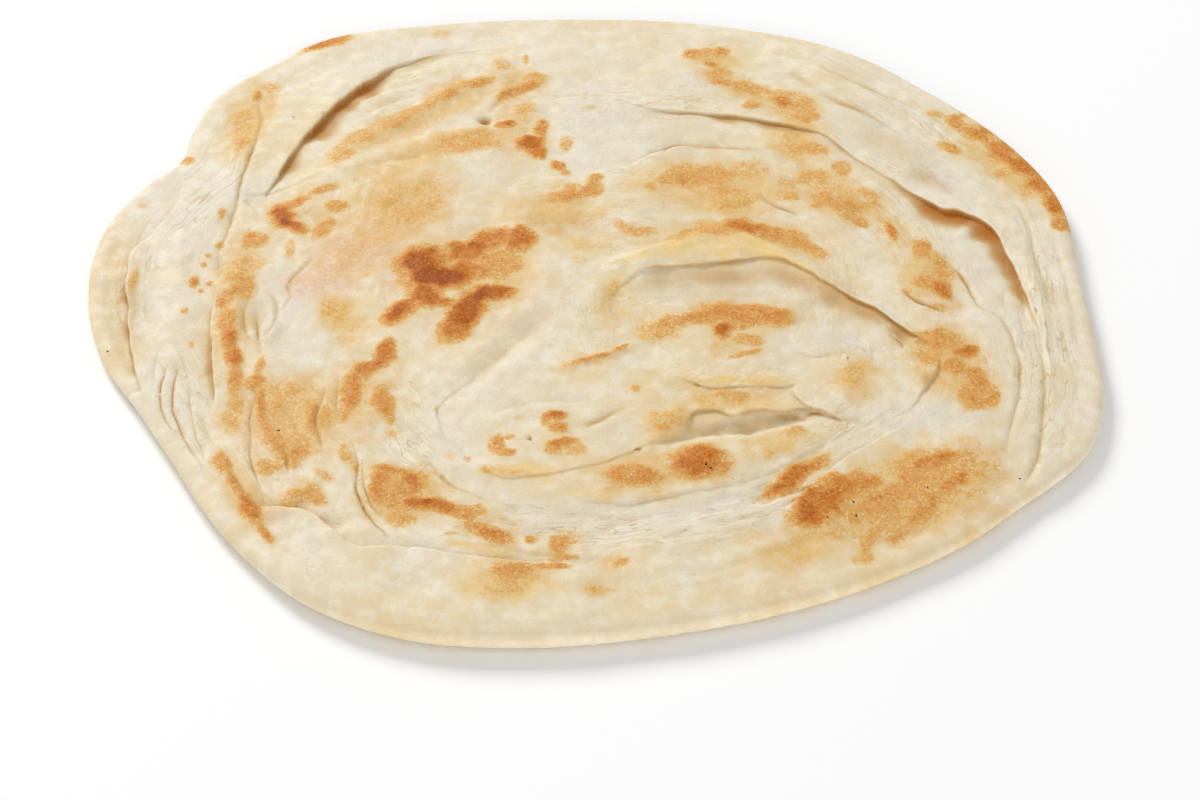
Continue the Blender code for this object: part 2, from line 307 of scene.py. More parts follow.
# Rounded ridges: points (x, y, strength), then height and half widths to the left and right.
RIDGES = {
    "pocket_crest": (
        ((4, 7.6, 0.4), (8, 8.2, 0.8), (14, 11.5, 1), (20, 14.6, 1), (24.5, 16.2, 1), (29, 14.6, 1),
         (34, 11, 0.9), (39, 7.4, 0.8), (45, 1.4, 0.7), (52, -5.4, 0.7), (58.6, -11.4, 0.4)),
        (1.25, 1.5, 4.0),
    ),
    "front_crest": (
        ((-56, -64, 0.4), (-44, -74, 0.8), (-25, -79.5, 1), (0, -80, 1), (20, -78, 1), (38, -73, 1),
         (55, -63, 0.8), (68, -50, 0.4)),
        (0.45, 4.5, 4.5),
    ),
    "orange_ridge": (((-3, -21.6, 0.5), (1, -19.6, 1), (5, -17.6, 1), (7.8, -15.4, 0.6)), (0.35, 0.7, 0.7)),
    "sunken_ridge": (
        ((-58.5, -1, 0.5), (-56.6, -5.5, 1), (-56, -10, 1), (-57.6, -13, 0.5)),
        (0.4, 0.9, 0.9),
    ),
    "strip": (
        ((2, -50, 0.5), (12, -48, 1), (22, -44.5, 1), (33, -39.5, 0.8), (43, -35.6, 0.4)),
        (0.45, 3.5, 4.5),
    ),
    "band": (((20, -29, 0.6), (26, -29.7, 1), (33, -28.8, 0.7)), (0.35, 2.0, 2.0)),
    "blister": (((11, -35.5, 0.8), (15, -35.3, 1)), (0.5, 3.2, 3.2)),
    "upper_lip_1": (((-57, 47, 0.5), (-48, 64, 1), (-38, 76, 0.5)), (0.35, 2.4, 2.4)),
    "diagonal": (((38, 21, 0.5), (44, 18.6, 1), (49, 14, 1), (53, 9.5, 0.5)), (0.4, 1.4, 1.4)),
    "flap_fold": (((18, -24.5, 0.4), (24, -25.2, 1), (30, -24.8, 1), (36, -24, 0.5)), (0.4, 1.4, 1.2)),
    "fold_1": (
        ((-52, 33, 0.4), (-44, 38, 1), (-35, 43, 1), (-26, 47.5, 0.8), (-16, 50, 0.4)),
        (0.5, 2.4, 2.4),
    ),
    "fold_2": (
        ((-48, 41, 0.4), (-40, 49, 1), (-31, 58, 1), (-22, 65, 0.8), (-12, 69, 0.4)),
        (0.5, 2.2, 2.2),
    ),
    "fold_3": (((-44, 57, 0.3), (-36, 66, 0.9), (-26, 72, 0.8), (-14, 75, 0.3)), (0.4, 1.8, 1.8)),
    "rim_fold_1": (((44, 76, 0.3), (52, 66, 0.9), (60, 58.5, 0.9), (68, 52, 0.3)), (0.5, 2.0, 2.0)),
    "rim_fold_3": (((34, 84, 0.3), (47, 76, 0.9), (58, 68, 0.9), (69, 59, 0.4)), (0.5, 1.6, 1.8)),
    "rim_fold_2": (((50, 60, 0.4), (56, 52, 1), (62, 44, 0.8), (66, 37, 0.4)), (0.45, 2.2, 2.2)),
    "right_ridge": (
        ((73, 32, 0.4), (79, 22, 0.9), (81.5, 8, 1), (82, -8, 1), (80, -24, 0.8), (76, -38, 0.4)),
        (0.45, 1.6, 1.6),
    ),
    "front_fold_1": (((-38, -60, 0.4), (-24, -63.2, 1), (-10, -65, 0.9), (2, -65.4, 0.4)), (0.4, 1.2, 1.2)),
    "front_fold_2": (
        ((-2, -71, 0.3), (12, -69.5, 0.8), (26, -66, 0.9), (40, -59.5, 0.4)),
        (0.35, 1.6, 1.6),
    ),
    "left_strip": (((-73, 40, 0.3), (-74, 20, 0.8), (-74.5, 0, 0.9), (-73, -14, 0.5)), (0.45, 3.0, 3.0)),
    "brown_ridge": (((-64, 16, 0.4), (-64, 0, 0.9), (-63, -14, 1), (-61, -26, 0.7)), (0.5, 1.6, 1.6)),
    "low_ridge": (((-64, -40, 0.4), (-60, -49, 1), (-55, -59, 0.6)), (0.45, 1.6, 1.6)),
}

# Griddle browning: (x, y, half length, half width, tilt in degrees, strength).
BROWN = (
    # the dark group left of the middle
    (-30, 7, 5, 5, 0, 0.95), (-27, 3, 6, 3.4, 0, 1), (-22, 11, 4.5, 3.6, 20, 0.85),
    (-22.5, 5, 4, 3, 0, 0.85), (-18, 14.6, 4, 3, 20, 0.8), (-12.6, 14.2, 2.8, 4.2, 0, 0.86),
    (-16, 7, 5, 4.5, 0, 0.56), (-29, -2, 3, 3.6, 30, 0.9), (-33.6, -7, 4.4, 2.6, 50, 0.92),
    (-26, -4.4, 2.4, 1.6, 0, 0.75), (-17, -1, 4.8, 2.3, 8, 0.92), (-21.8, -7, 8, 2.9, 68, 0.94),
    # the left side
    (-57, 23, 2.2, 3.6, 15, 0.92), (-54.5, 19.8, 3.6, 1.5, -35, 0.9), (-55, 26.6, 3.6, 1.4, 38, 0.65),
    (-50, 30.6, 3, 1.2, 25, 0.55), (-47, 25, 2.6, 2, 0, 0.55), (-48.8, 18.5, 1.6, 3.4, -20, 0.55),
    (-61.5, 16, 2.3, 2.6, 0, 0.62), (-54.5, 13, 1, 3, 0, 0.38), (-62, 9, 2.8, 3, 0, 0.4),
    (-63, 3, 3, 4.5, 0, 0.52), (-65.3, -2, 1.5, 3, 0, 0.6), (-64.6, -7.5, 1.5, 3.4, 5, 0.65),
    (-63.6, -12.5, 1.5, 3.4, 12, 0.78), (-62.4, -17.5, 1.6, 3.2, 8, 0.82), (-61.6, -23, 1.5, 3.4, 0, 0.6),
    (-61.2, -31, 1.8, 5, 0, 0.42), (-58, -24, 2, 1.8, 0, 0.7), (-57.5, -20, 0.9, 2.2, 0, 0.55),
    (-56.6, -29, 1, 4.6, 5, 0.72), (-54.4, -37, 1.2, 5, 22, 0.6), (-47.6, -33, 1.1, 5, 0, 0.55),
    (-51, -33, 7.6, 9.5, 0, 0.34), (-53, -27, 4, 3, 0, 0.35), (-50, -40, 5, 4, 0, 0.42),
    (-51, -42, 2.6, 3, 0, 0.5), (-54, -45, 2.5, 2, 0, 0.45), (-62, -43.6, 1.5, 2.8, 20, 0.62),
    (-59.4, -48.6, 0.9, 3.4, 28, 0.7), (-56.4, -54.6, 1.3, 4.2, 28, 0.8),
    (-53.2, -60.6, 0.8, 3, 28, 0.72), (-49, -52.5, 2.4, 2, 0, 0.42), (-45.4, -52.3, 3, 1.4, -50, 0.5),
    # dots near the left rim
    (-68.5, 24, 0.8, 2, 0, 0.5), (-68, 14.5, 0.9, 1, 0, 0.5), (-69.7, 11.5, 0.7, 0.7, 0, 0.55),
    (-70.2, 9, 0.6, 0.8, 0, 0.5), (-71.5, 4, 0.9, 1.8, 0, 0.6), (-70, 1.5, 0.7, 0.7, 0, 0.55),
    (-68.7, 3.5, 0.6, 0.8, 0, 0.5), (-72.5, -4, 0.7, 1, 0, 0.5), (-70.3, -13, 0.5, 1, 0, 0.45),
    (-76.5, 42, 1.3, 1.5, 0, 0.62), (-84, 28.5, 1.3, 1, 0, 0.3), (-82.6, 5, 0.8, 3.5, 0, 0.4),
    # streaks and a spot along the upper left layers
    (-46, 46, 6.5, 1.5, 48, 0.42), (-37, 54, 7.5, 1.7, 38, 0.4), (-28, 61, 6, 1.7, 36, 0.46),
    (-21.6, 65.4, 2.6, 1.8, 40, 0.56), (-24, 46, 6, 3, 12, 0.3), (-16, 50.6, 1.8, 1.4, 0, 0.72),
    # pinkish zone and tan haze
    (-37, 18, 9, 4.5, 45, 0.26), (-45, 8, 7, 4, 45, 0.2), (-41, 5.4, 4, 2.4, 30, 0.2),
    (-38, 16, 14, 8, 45, 0.22), (-33, 25, 7, 7, 0, 0.34), (-28, 30, 4, 6, 0, 0.26),
    (-38, 27, 4, 3, 30, 0.3), (-45, -6, 3.6, 4.2, 0, 0.36), (-42, -12, 2.6, 4.8, -20, 0.24),
    # middle left and lower left
    (-35.4, -18, 1.9, 3.4, -8, 0.85), (-38, -21.5, 3.2, 2.2, 30, 0.82), (-41, -27, 1.9, 5, 0, 0.76),
    (-42, -32.5, 0.9, 2.6, 0, 0.5), (-35, -30, 2, 4.2, 10, 0.66), (-33.6, -34, 0.8, 1.8, 0, 0.5),
    (-41, -42.6, 1, 2.6, 15, 0.5), (-39.4, -46, 0.9, 1.6, 10, 0.45), (-45, -34, 1.6, 3.5, 0, 0.42),
    (-44.5, -47.5, 2.4, 1, -40, 0.45), (-31, -51.5, 5, 4.8, 0, 0.6), (-35.2, -51, 1.4, 3.8, 0, 0.72),
    (-33, -46.9, 3.4, 1.2, -8, 0.72), (-29, -50, 1.2, 2.8, 30, 0.78), (-28, -54.8, 3, 1.6, 0, 0.86),
    (-24.4, -55.3, 3, 1.4, -22, 0.86), (-30.5, -58, 2.6, 2, 0, 0.46), (-19.8, -56.8, 3.2, 1.6, -10, 0.62),
    (-15.2, -61.8, 3.8, 1.8, -32, 0.7), (-18.6, -59.8, 1.6, 1.2, 0, 0.5),
    (-22, -61.8, 1.4, 0.5, 10, 0.36), (-8.9, -63, 1, 0.9, 0, 0.6), (-4.6, -64.4, 1.8, 2.1, 0, 0.64),
    (-3, -62.6, 2.6, 1.6, 0, 0.4), (-3.6, -67.2, 2.6, 0.8, 0, 0.45), (-12, -70.3, 3.4, 2, 0, 0.66),
    (-13, -73.5, 5.5, 3, 0, 0.24), (-5.5, -69.4, 3.2, 0.8, -4, 0.62), (2, -74.6, 3, 1.2, 0, 0.32),
    (6, -68.6, 1.6, 1, 30, 0.5), (-15, -41.3, 1.2, 2.8, 0, 0.66), (-16.2, -41, 0.8, 2, 0, 0.4),
    (-13.6, -43.6, 1.6, 1.2, 0, 0.5), (-13, -39.6, 1.2, 0.8, 0, 0.4), (-16.5, -47.6, 1.4, 1, 0, 0.42),
    (-12, -48.6, 4, 0.9, -5, 0.28), (-20, -45, 0.7, 0.9, 0, 0.42), (-23, -44, 1.1, 1.5, 0, 0.22),
    (-27.6, -45.6, 1.2, 0.8, -30, 0.3), (-33.4, -37.4, 1.3, 1, -30, 0.34), (-5, -34.4, 2.2, 1.2, 0, 0.88),
    (-7, -35.8, 0.8, 1, 0, 0.6), (-4.6, -37.4, 1.9, 1.4, 0, 0.74), (-4, -40.8, 2.8, 1, 10, 0.78),
    (-6, -42, 1, 1.4, -20, 0.6), (-3, -42.4, 3.2, 1.6, 0, 0.4), (-11.4, -34.6, 1, 1, 0, 0.24),
    # the thin ridge and the middle
    (0.5, -19.9, 4.4, 0.7, 22, 0.6), (6.4, -16.6, 1.8, 0.6, 42, 0.66), (-3, -22, 1.6, 2.4, -30, 0.24),
    (8.6, -27.4, 1, 1.1, 0, 0.5), (28, -6, 8.2, 3.4, -6, 0.7), (21, -7.6, 4.4, 2.4, 25, 0.68),
    (15.5, -9.8, 4, 1.8, 15, 0.5), (33.6, -7.4, 3.2, 3, 0, 0.56), (35.5, -7.8, 2.2, 2.4, 0, 0.46),
    (24.3, -11.6, 1.8, 2.4, 0, 0.9), (26.5, -9.6, 4, 2, 0, 0.52), (13, -12, 4.4, 3, 0, 0.36),
    (10, -13, 1, 2.2, 0, 0.3), (29, -14, 3, 1.6, 0, 0.48), (28.2, -17.8, 3.4, 0.8, 24, 0.52),
    (23, -17, 2, 3, 0, 0.26),
    # around the upper pocket's lip
    (20, 16.2, 6.5, 1.7, 24, 0.5), (27, 17, 6, 2.2, 10, 0.5), (28.4, 18, 3.6, 2.6, 0, 0.78),
    (33, 17, 4.6, 2.2, -20, 0.62), (37.5, 15, 4.4, 2.4, -30, 0.58), (41.6, 12, 3.4, 1.8, -40, 0.5),
    (22, 19, 3, 1.6, 10, 0.3), (21, 34, 7, 4, 0, 0.54), (16, 33, 4, 3, 0, 0.4), (27, 27, 5, 5.5, 0, 0.42),
    (31, 36, 4, 4, 0, 0.33), (12, 30, 2, 2, 0, 0.4), (37.4, 30, 3, 3.6, 0, 0.36),
    (38.6, 27.6, 2, 1.4, 0, 0.4), (6.4, 18.2, 1.2, 2.2, 25, 0.34), (9.6, 16.6, 3.4, 1.6, 0, 0.4),
    (0, 12.5, 4, 1.6, 0, 0.26), (-1.6, 8.6, 1.8, 1.4, 0, 0.28), (5, 0, 1.3, 2.6, 0, 0.3),
    (3.4, -6, 2.4, 3.4, 0, 0.22),
    # the mottled band on the right
    (43, 34, 3.4, 3.4, 0, 0.4), (48.6, 37.6, 2.4, 3, 0, 0.46), (40, 45, 3, 5, 0, 0.38),
    (44, 43.6, 3, 2, -30, 0.46), (44.6, 27, 3.2, 3.4, 0, 0.5), (49, 24.5, 3.6, 4, 0, 0.5),
    (53, 27.5, 2.6, 4, 25, 0.42), (46, 31, 3, 2, 0, 0.3), (56.6, 18, 1, 3.2, 12, 0.74),
    (51, 20.6, 2, 1.4, 0, 0.5), (61.6, 13, 2.2, 3.2, 10, 0.62), (65, 7.4, 1.8, 4, 10, 0.52),
    (62, 3, 2.6, 2.6, 0, 0.5), (64.6, 1.6, 1.7, 2.6, 0, 0.84), (58.4, 0.6, 0.9, 0.8, 0, 0.5),
    (63.6, -3.6, 2.8, 1.6, 0, 0.34),
    # right, below the pocket's end
    (62.6, -12.6, 4.6, 3, 0, 0.55), (67.6, -15.2, 2, 1.9, 0, 0.84), (60.6, -16.8, 3, 2.6, 0, 0.5),
    (65, -19.6, 2.6, 2.6, 0, 0.66), (68.8, -22.4, 2.2, 3, 0, 0.66), (67.6, -27, 3, 3.4, 0, 0.62),
    (71, -27, 1.4, 3, 0, 0.5),
    # the upper side
    (-66.8, 52, 2.2, 9, 0, 0.4), (-65.4, 63, 1, 1.8, -10, 0.7), (-66.5, 47, 1.6, 2, 0, 0.4),
    (-63, 66, 2.6, 2, 0, 0.36), (-62.4, 60, 0.9, 5, 0, 0.3), (-76.4, 52, 0.8, 3, -10, 0.25),
    (-47, 41, 2.6, 1.8, 35, 0.45), (-43, 46.6, 3, 1.7, 35, 0.5), (-37, 52, 3.4, 1.8, 40, 0.5),
    (-33, 56.4, 3, 1.6, 40, 0.46), (-28, 61, 2.8, 2.2, 35, 0.48), (-24.5, 64, 2.4, 2, 30, 0.44),
    (-20.6, 65.3, 2.8, 1.1, 38, 0.6), (-24, 44.6, 7, 3.4, 28, 0.44), (-33, 41, 5, 2, 28, 0.25),
    (-18, 44, 2, 1.8, 0, 0.46), (-13.2, 63.4, 5, 1.5, 35, 0.68), (-10.6, 66.4, 2.4, 3, -15, 0.42),
    (-16.4, 60.6, 1.3, 2.6, -15, 0.45), (-17, 72, 2.6, 3, 0, 0.34), (-12.4, 74.6, 0.7, 2.4, 0, 0.4),
    (-12, 56, 2.6, 3.6, 0, 0.36), (-15, 51, 1.2, 1.6, -30, 0.82), (-9, 50, 1.2, 3, 0, 0.76),
    (-11.2, 45, 2.8, 2.6, 0, 0.9), (-9.6, 41.4, 1.8, 2.4, 0, 0.82), (-5.6, 37.2, 1.5, 2.2, 20, 0.72),
    (-4.2, 35, 1, 0.9, 0, 0.6), (-4.2, 44.4, 1.4, 2.4, 0, 0.38), (1, 57, 1.8, 0.8, 0, 0.28),
    (1.6, 33, 1.6, 1.3, 0, 0.58), (0.8, 29.6, 2, 2.4, 10, 0.62), (-4, 27.6, 4, 2.2, 15, 0.64),
    (-2.6, 30.6, 2, 1.3, 0, 0.5), (-5, 23, 4, 3, 20, 0.26),
    # the far side
    (23.5, 77, 5, 3, 0, 0.44), (25.8, 70, 3, 4.6, 5, 0.42), (31, 64.8, 5.4, 3, -15, 0.44),
    (40.6, 58, 4.4, 5.4, -20, 0.36), (21, 76.8, 2, 2.3, 0, 0.56), (27, 78.4, 1.9, 2.2, 0, 0.62),
    (24.2, 72.6, 1.3, 1.2, 0, 0.64), (25.6, 69, 1.5, 2.8, 0, 0.42), (27, 66, 3.2, 1, 5, 0.56),
    (32, 65, 3, 3, 0, 0.42), (32.4, 58.2, 2.1, 1.8, 0, 0.6), (38, 60, 2, 1.9, 0, 0.76),
    (42, 58, 2.4, 3.6, 0, 0.46), (37, 63, 3.4, 1.4, -20, 0.4), (42.8, 54, 2.4, 1.8, 0, 0.56),
    # the browned right-hand rim
    (74.6, 51.6, 5, 3, -45, 0.42), (82.6, 40, 7.4, 2.6, -60, 0.42), (71.6, 54.6, 1.9, 2.4, 0, 0.66),
    (68, 57, 1.6, 1.4, 0, 0.4), (70, 45.6, 2.8, 1.7, -35, 0.5), (76, 50.4, 2.4, 3.2, 40, 0.66),
    (80.2, 45.4, 2.4, 3.8, 38, 0.74), (83.2, 40.6, 2.4, 3.6, 32, 0.8), (86.4, 34.6, 2.1, 3.8, 22, 0.76),
    (88, 28.6, 1.8, 3.6, 5, 0.82), (88.4, 22.6, 1.4, 2.2, 0, 0.7), (80, 38.6, 2.4, 1.8, 0, 0.5),
    (83.6, 33, 1.6, 2.4, 0, 0.5),
    # the browned upper left rim
    (-53.2, 81.6, 6, 2, 27, 0.8), (-29.5, 85, 2, 2, 0, 0.24),
    # the front right
    (19, -45.6, 5.4, 4, 10, 0.86), (8, -49, 5, 3.2, -4, 0.64), (35.4, -47.9, 7, 1.75, 43, 0.86),
    (31.4, -51.6, 1.6, 0.8, 30, 0.5), (39, -54.6, 6, 3.8, 52, 0.84), (37, -57.4, 3, 2.6, 40, 0.7),
    (45.6, -49.8, 4.6, 2.8, 28, 0.76), (47, -55, 6, 3, 35, 0.42), (58, -46, 8, 5, 24, 0.5),
    (54, -52, 8, 4.2, 38, 0.46), (60, -43.4, 4, 2, 30, 0.66), (57, -44.5, 2.6, 1, 40, 0.7),
    (62.6, -48.6, 4, 1.4, 48, 0.66), (57, -55, 5, 1.6, 50, 0.62), (52, -60, 3.4, 1.4, 50, 0.46),
    (47.6, -61, 5, 1.2, 62, 0.52), (50, -54, 4, 3, 30, 0.45), (36, -65, 5, 3, 20, 0.26),
    (46, -66, 2.4, 1.6, 30, 0.42), (42, -60, 5, 2.4, 30, 0.3), (27, -62.6, 4, 2.6, 15, 0.2),
    (66, -40, 3, 3, 0, 0.3), (36, -37.6, 2.8, 1.7, 15, 0.4), (33, -40, 2.6, 1.6, 20, 0.26),
    (31, -43, 1.3, 1.5, 0, 0.34), (46.6, -22.6, 2.6, 3.6, 0, 0.36), (47.6, -26.6, 3.6, 3, 0, 0.26),
    (25.4, -29.8, 3, 2, -10, 0.48), (21, -30, 3, 1.6, 0, 0.34), (14, -35.6, 3.8, 2.6, 0, 0.36),
    (13.4, -37.6, 1.6, 1, 0, 0.46), (27, -24.8, 6, 1, 0, 0.2),
)

# Soft browning, with no edge of its own: the same fields.
HAZE = (
    (57, -49, 20, 12, 34, 0.5), (50, -57, 14, 7, 36, 0.42), (37, -63, 12, 6, 24, 0.3),
    (64, -46, 12, 9, 30, 0.38), (-50, -33, 12, 14, 0, 0.34), (-12, -73, 10, 6, 0, 0.36),
    (28, 17, 14, 5, 0, 0.36), (65, -19, 9, 14, 22, 0.34), (-16, 6, 12, 10, 30, 0.3),
    (22, 32, 16, 9, 0, 0.36), (46, 29, 10, 10, 25, 0.34), (41, 52, 6, 14, 0, 0.3),
    (33, 63, 12, 6, -25, 0.3), (26, -8, 15, 7, 0, 0.3), (-30, 30, 12, 12, 0, 0.24),
    (-33, 52, 18, 5, 40, 0.28), (-22, 44, 14, 5, 24, 0.34), (-66, 53, 5, 15, 0, 0.3),
    (-64, 2, 5, 22, 0, 0.3), (79, 43, 6, 18, 35, 0.3), (-58, -50, 5, 13, 28, 0.24),
    (-31, -52, 9, 8, 0, 0.3), (13, -47, 15, 6, 6, 0.28), (62, 5, 6, 12, 12, 0.3), (-8, 25, 9, 7, 0, 0.26),
    (-11, 46, 6, 9, 20, 0.3), (-14, 64, 7, 5, 30, 0.3), (-3, 30, 7, 4.4, 15, 0.3),
    (35, -40, 9, 4, 20, 0.24), (-39, -27, 7, 12, 15, 0.28),
)

# Char specks: (x, y, half length, half width, tilt). SPECK_SCALE makes them all smaller.
SPECKS = (
    (-53, -35.7, 0.28, 0.22, 0), (57.8, -50.2, 0.13, 0.36, 5), (45, -54, 0.17, 0.38, 30),
    (45.3, -57, 0.26, 0.26, 0), (46.2, -18.5, 0.12, 0.4, 0), (20.4, -46.9, 0.2, 0.36, -30),
    (21.2, -47.7, 0.3, 0.2, 20), (-85.5, -12.8, 0.22, 0.2, 0), (73.9, -46.5, 0.2, 0.2, 0),
    (-57.3, 54.5, 0.18, 0.18, 0), (40.4, -58, 0.2, 0.16, 0), (24.9, -49.3, 0.12, 0.12, 0),
)
SPECK_SCALE = 0.8
SPECK_HEIGHT = 0.14

# Patches of another tone: (x, y, half length, half width, tilt, strength).
OILY = (
    (-88, 6, 3, 16, 0, 0.36), (-85, -16, 3, 12, 12, 0.45), (-78, -38, 3, 10, 30, 0.3),
    (-66, 54, 5, 15, 0, 0.9), (-52, 54, 3, 14, -32, 0.45), (-40, 48, 14, 5, 42, 0.7),
    (-26, 60, 8, 6, 35, 0.7), (-14, 64, 6, 10, 0, 0.75), (-14, 50, 6, 10, 0, 0.7),
    (-30, 43, 14, 5, 22, 0.8), (-18, 76, 6, 3, 0, 0.5), (-38, 32, 14, 8, 30, 0.8),
    (-36, 20, 10, 12, 30, 0.85), (-50, 24, 10, 10, 0, 0.6), (-14, 24, 10, 8, 0, 0.5),
    (-4, 24, 9, 8, 0, 0.8), (2, 13, 12, 4, 0, 0.7), (24, 14, 20, 6, 0, 0.95), (38, 14, 8, 8, -40, 0.7),
    (45, 6, 10, 3, -45, 0.5), (25, 30, 18, 10, 0, 0.95), (45, 30, 9, 14, 20, 0.8),
    (40, 48, 7, 12, 0, 0.9), (32, 62, 9, 6, -30, 0.85), (26, 72, 6, 9, 10, 0.8), (55, 22, 5, 10, 30, 0.8),
    (62, 4, 6, 12, 10, 0.7), (80, 42, 6, 16, 35, 0.8), (70, 48, 6, 5, 0, 0.6), (5, -4, 5, 9, 0, 0.7),
    (12, -10, 5, 5, 0, 0.5), (26, -8, 13, 7, 0, 0.6), (24, -16, 7, 5, 0, 0.6), (3, -18, 9, 3.5, 25, 0.6),
    (-2, -23, 5, 4, 0, 0.5), (9, -27, 5, 4, 0, 0.5), (22, -25, 14, 4, 0, 0.7), (16, -35, 8, 6, 0, 0.7),
    (26, -30, 10, 5, 0, 0.8), (33, -40, 12, 3.5, 20, 0.8), (24, -41, 14, 3, 14, 0.5),
    (47, -23, 7, 7, 0, 0.75), (64, -19, 9, 13, 25, 0.8), (-43, -8, 6, 10, 0, 0.75),
    (-63, 0, 6, 24, 0, 0.6), (-50, -33, 14, 12, 0, 0.8), (-38, -24, 9, 12, 20, 0.6),
    (-20, 0, 18, 16, 0, 0.5), (-58, -50, 6, 12, 28, 0.6), (-50, -53, 7, 5, 0, 0.6),
    (-30, -52, 10, 8, 0, 0.7), (-18, -59, 8, 5, -30, 0.6), (-13, -72, 10, 6, 0, 0.8),
    (-4, -66, 6, 6, 0, 0.7), (4, -74, 8, 4, 0, 0.5), (6, -68, 5, 4, 0, 0.6), (-11, -48, 9, 3, 5, 0.9),
    (-14, -41, 5, 5, 0, 0.4), (-4, -39, 5, 7, 0, 0.6), (12, -49, 14, 6, 8, 0.75),
    (53, -53, 20, 11, 28, 0.8), (36, -65, 12, 6, 25, 0.8), (55, -64, 20, 5, 35, 0.6),
    (20, -76, 30, 4, 10, 0.35), (-25, -80, 20, 4, -14, 0.35),
)
# Lightly baked places, with soft edges.
TAN = (
    (-66, 54, 3.6, 13, 0, 0.7), (-27, 43.5, 14, 5, 24, 0.75), (-34, 27, 10, 11, 25, 0.75),
    (-50, 24, 7, 6, 0, 0.4), (-14, 50, 4, 12, 0, 0.5), (-13, 66, 4.5, 5, 0, 0.6),
    (-26, 62, 10, 4.5, 38, 0.7), (-38, 51, 16, 4, 40, 0.7), (-48, -32, 12, 10, 0, 0.7),
    (-39, -26, 5, 10, 15, 0.5), (-64, 0, 3.4, 22, 0, 0.6), (-44, -7, 4, 7, 0, 0.6),
    (-57, -52, 3.6, 11, 28, 0.6), (-31, -51, 7, 6, 0, 0.7), (-15, -60.5, 6, 3, -30, 0.5),
    (-12, -71, 6, 4, 0, 0.6), (24, 31, 14, 7, 0, 0.8), (30, 24, 8, 6, 0, 0.5), (46, 29, 7, 8, 25, 0.6),
    (41, 47, 4.5, 12, 0, 0.7), (34, 61, 9, 4, -25, 0.7), (25, 73, 4, 8, 5, 0.7),
    (57, 18, 3.5, 8, 20, 0.7), (63, 4, 4.5, 10, 10, 0.6), (28, 17.4, 10, 3.2, 0, 1),
    (38, 13.6, 6, 3, -35, 0.8), (27, -7, 11, 5, 0, 0.7), (14, -11, 5, 3, 10, 0.5),
    (26, -15, 5, 4, 0, 0.5), (4.5, -3, 2.2, 6, 0, 0.4), (-4, 25, 5, 5, 0, 0.6), (-49, -52, 4, 3, 0, 0.5),
    (47, -23, 4.4, 5.4, 0, 0.6), (25, -29, 8, 3.4, 0, 0.7), (14, -35.5, 5.5, 4, 0, 0.6),
    (34, -40, 7, 2.6, 18, 0.6), (65, -19, 6.5, 11, 22, 0.85), (12, -47.5, 13, 5, 6, 0.6),
    (56, -51, 14, 8.5, 32, 0.85), (36, -63, 8, 4, 25, 0.6), (81, 38, 3.5, 14, 32, 0.6),
    (5, -68, 3.6, 2.2, 0, 0.5), (2, -74, 4, 2, 0, 0.35), (-56, 22, 4, 6, 0, 0.5),
    (-20, -1, 14, 14, 0, 0.4), (3, -19.5, 6, 1.6, 22, 0.5), (-6, 20, 8, 5, 0, 0.85),
    (-60, -30, 4, 8, 0, 0.6), (-42, 14, 10, 8, 45, 0.5), (-24, 14, 8, 5, 20, 0.5),
)
# Thin folded lips, with painted light: a bright yellow glow for the light shining through them.
PAINTED_LIP_GLOW = (
    (10, 8.4, 5, 1.4, 12, 0.7), (17, 10.8, 7, 1.4, 22, 0.6), (26, 12.2, 6, 2, 0, 0.4),
    (19, 14.2, 7, 1.1, 26, 1), (30, 14.2, 5, 1.1, -24, 1), (34, 9.8, 6, 2, -38, 0.85),
    (41, 4.4, 6, 1.4, -45, 0.8), (49, -3.4, 6, 1.1, -42, 0.6), (27, -25.4, 9, 1, 2, 0.9),
    (27, -30.6, 9, 1.2, 2, 0.7), (-12, -47.6, 6, 1.2, 5, 0.8), (12, -39.4, 5, 1.2, 40, 0.4),
    (-18, -64.6, 7, 0.9, -12, 0.7), (-13, -74.5, 7, 2.4, 0, 0.5), (3, -52.6, 8, 1.2, 4, 0.4),
    (6.4, 2, 1.8, 4.4, -30, 0.5), (-50, 39, 6, 1.2, 35, 0.4),
)
# Mealy, floury places.
MEALY = (
    (-65, 32, 6, 5, 0, 0.9), (-74, 24, 7, 12, 0, 0.9), (4, 74, 14, 6, 0, 0.7), (-56, -4, 7, 12, 0, 0.95),
    (-50, -14, 8, 8, 0, 0.8), (-22, 33, 4, 5, 0, 0.9), (6, 52, 16, 11, 0, 0.95), (20, 66, 9, 6, 0, 0.9),
    (-6, 66, 8, 7, 0, 0.5), (-38, 76, 18, 5, 20, 0.8), (-46, 66, 8, 5, 45, 0.6),
    (58, 46, 10, 10, -40, 0.8), (66, 36, 9, 6, -50, 0.8), (52, 58, 10, 8, -40, 0.6),
    (76, -16, 5, 24, 0, 0.7), (60, -33, 16, 4, 8, 0.95), (44, -14, 11, 5, -15, 0.9),
    (25, 0, 14, 6, 0, 0.5), (8, -57, 24, 3.5, 0, 0.9), (-18, -50, 7, 3, -25, 0.7),
    (-26, -40, 8, 8, 0, 0.7), (-9, -8, 9, 6, 40, 0.8), (-14, -26, 9, 7, 0, 0.6), (-2, -32, 8, 4, 0, 0.5),
    (-48, -60, 7, 3, -40, 0.6), (-72, -28, 6, 12, 0, 0.6), (-72, 4, 5, 20, 0, 0.5),
    (-78, 30, 8, 12, 0, 0.6), (-40, -64, 9, 3, 0, 0.3), (0, -61, 10, 2.5, 0, 0.5),
    (26, -54, 10, 2.4, 20, 0.8), (70, 10, 4, 10, 0, 0.5), (14, 22, 6, 5, 0, 0.4), (-26, 52, 5, 5, 0, 0.3),
    (0, 38, 6, 5, 0, 0.6), (28, -36, 12, 2.4, 12, 0.15), (3, -36, 5, 4, 40, 0.4),
)
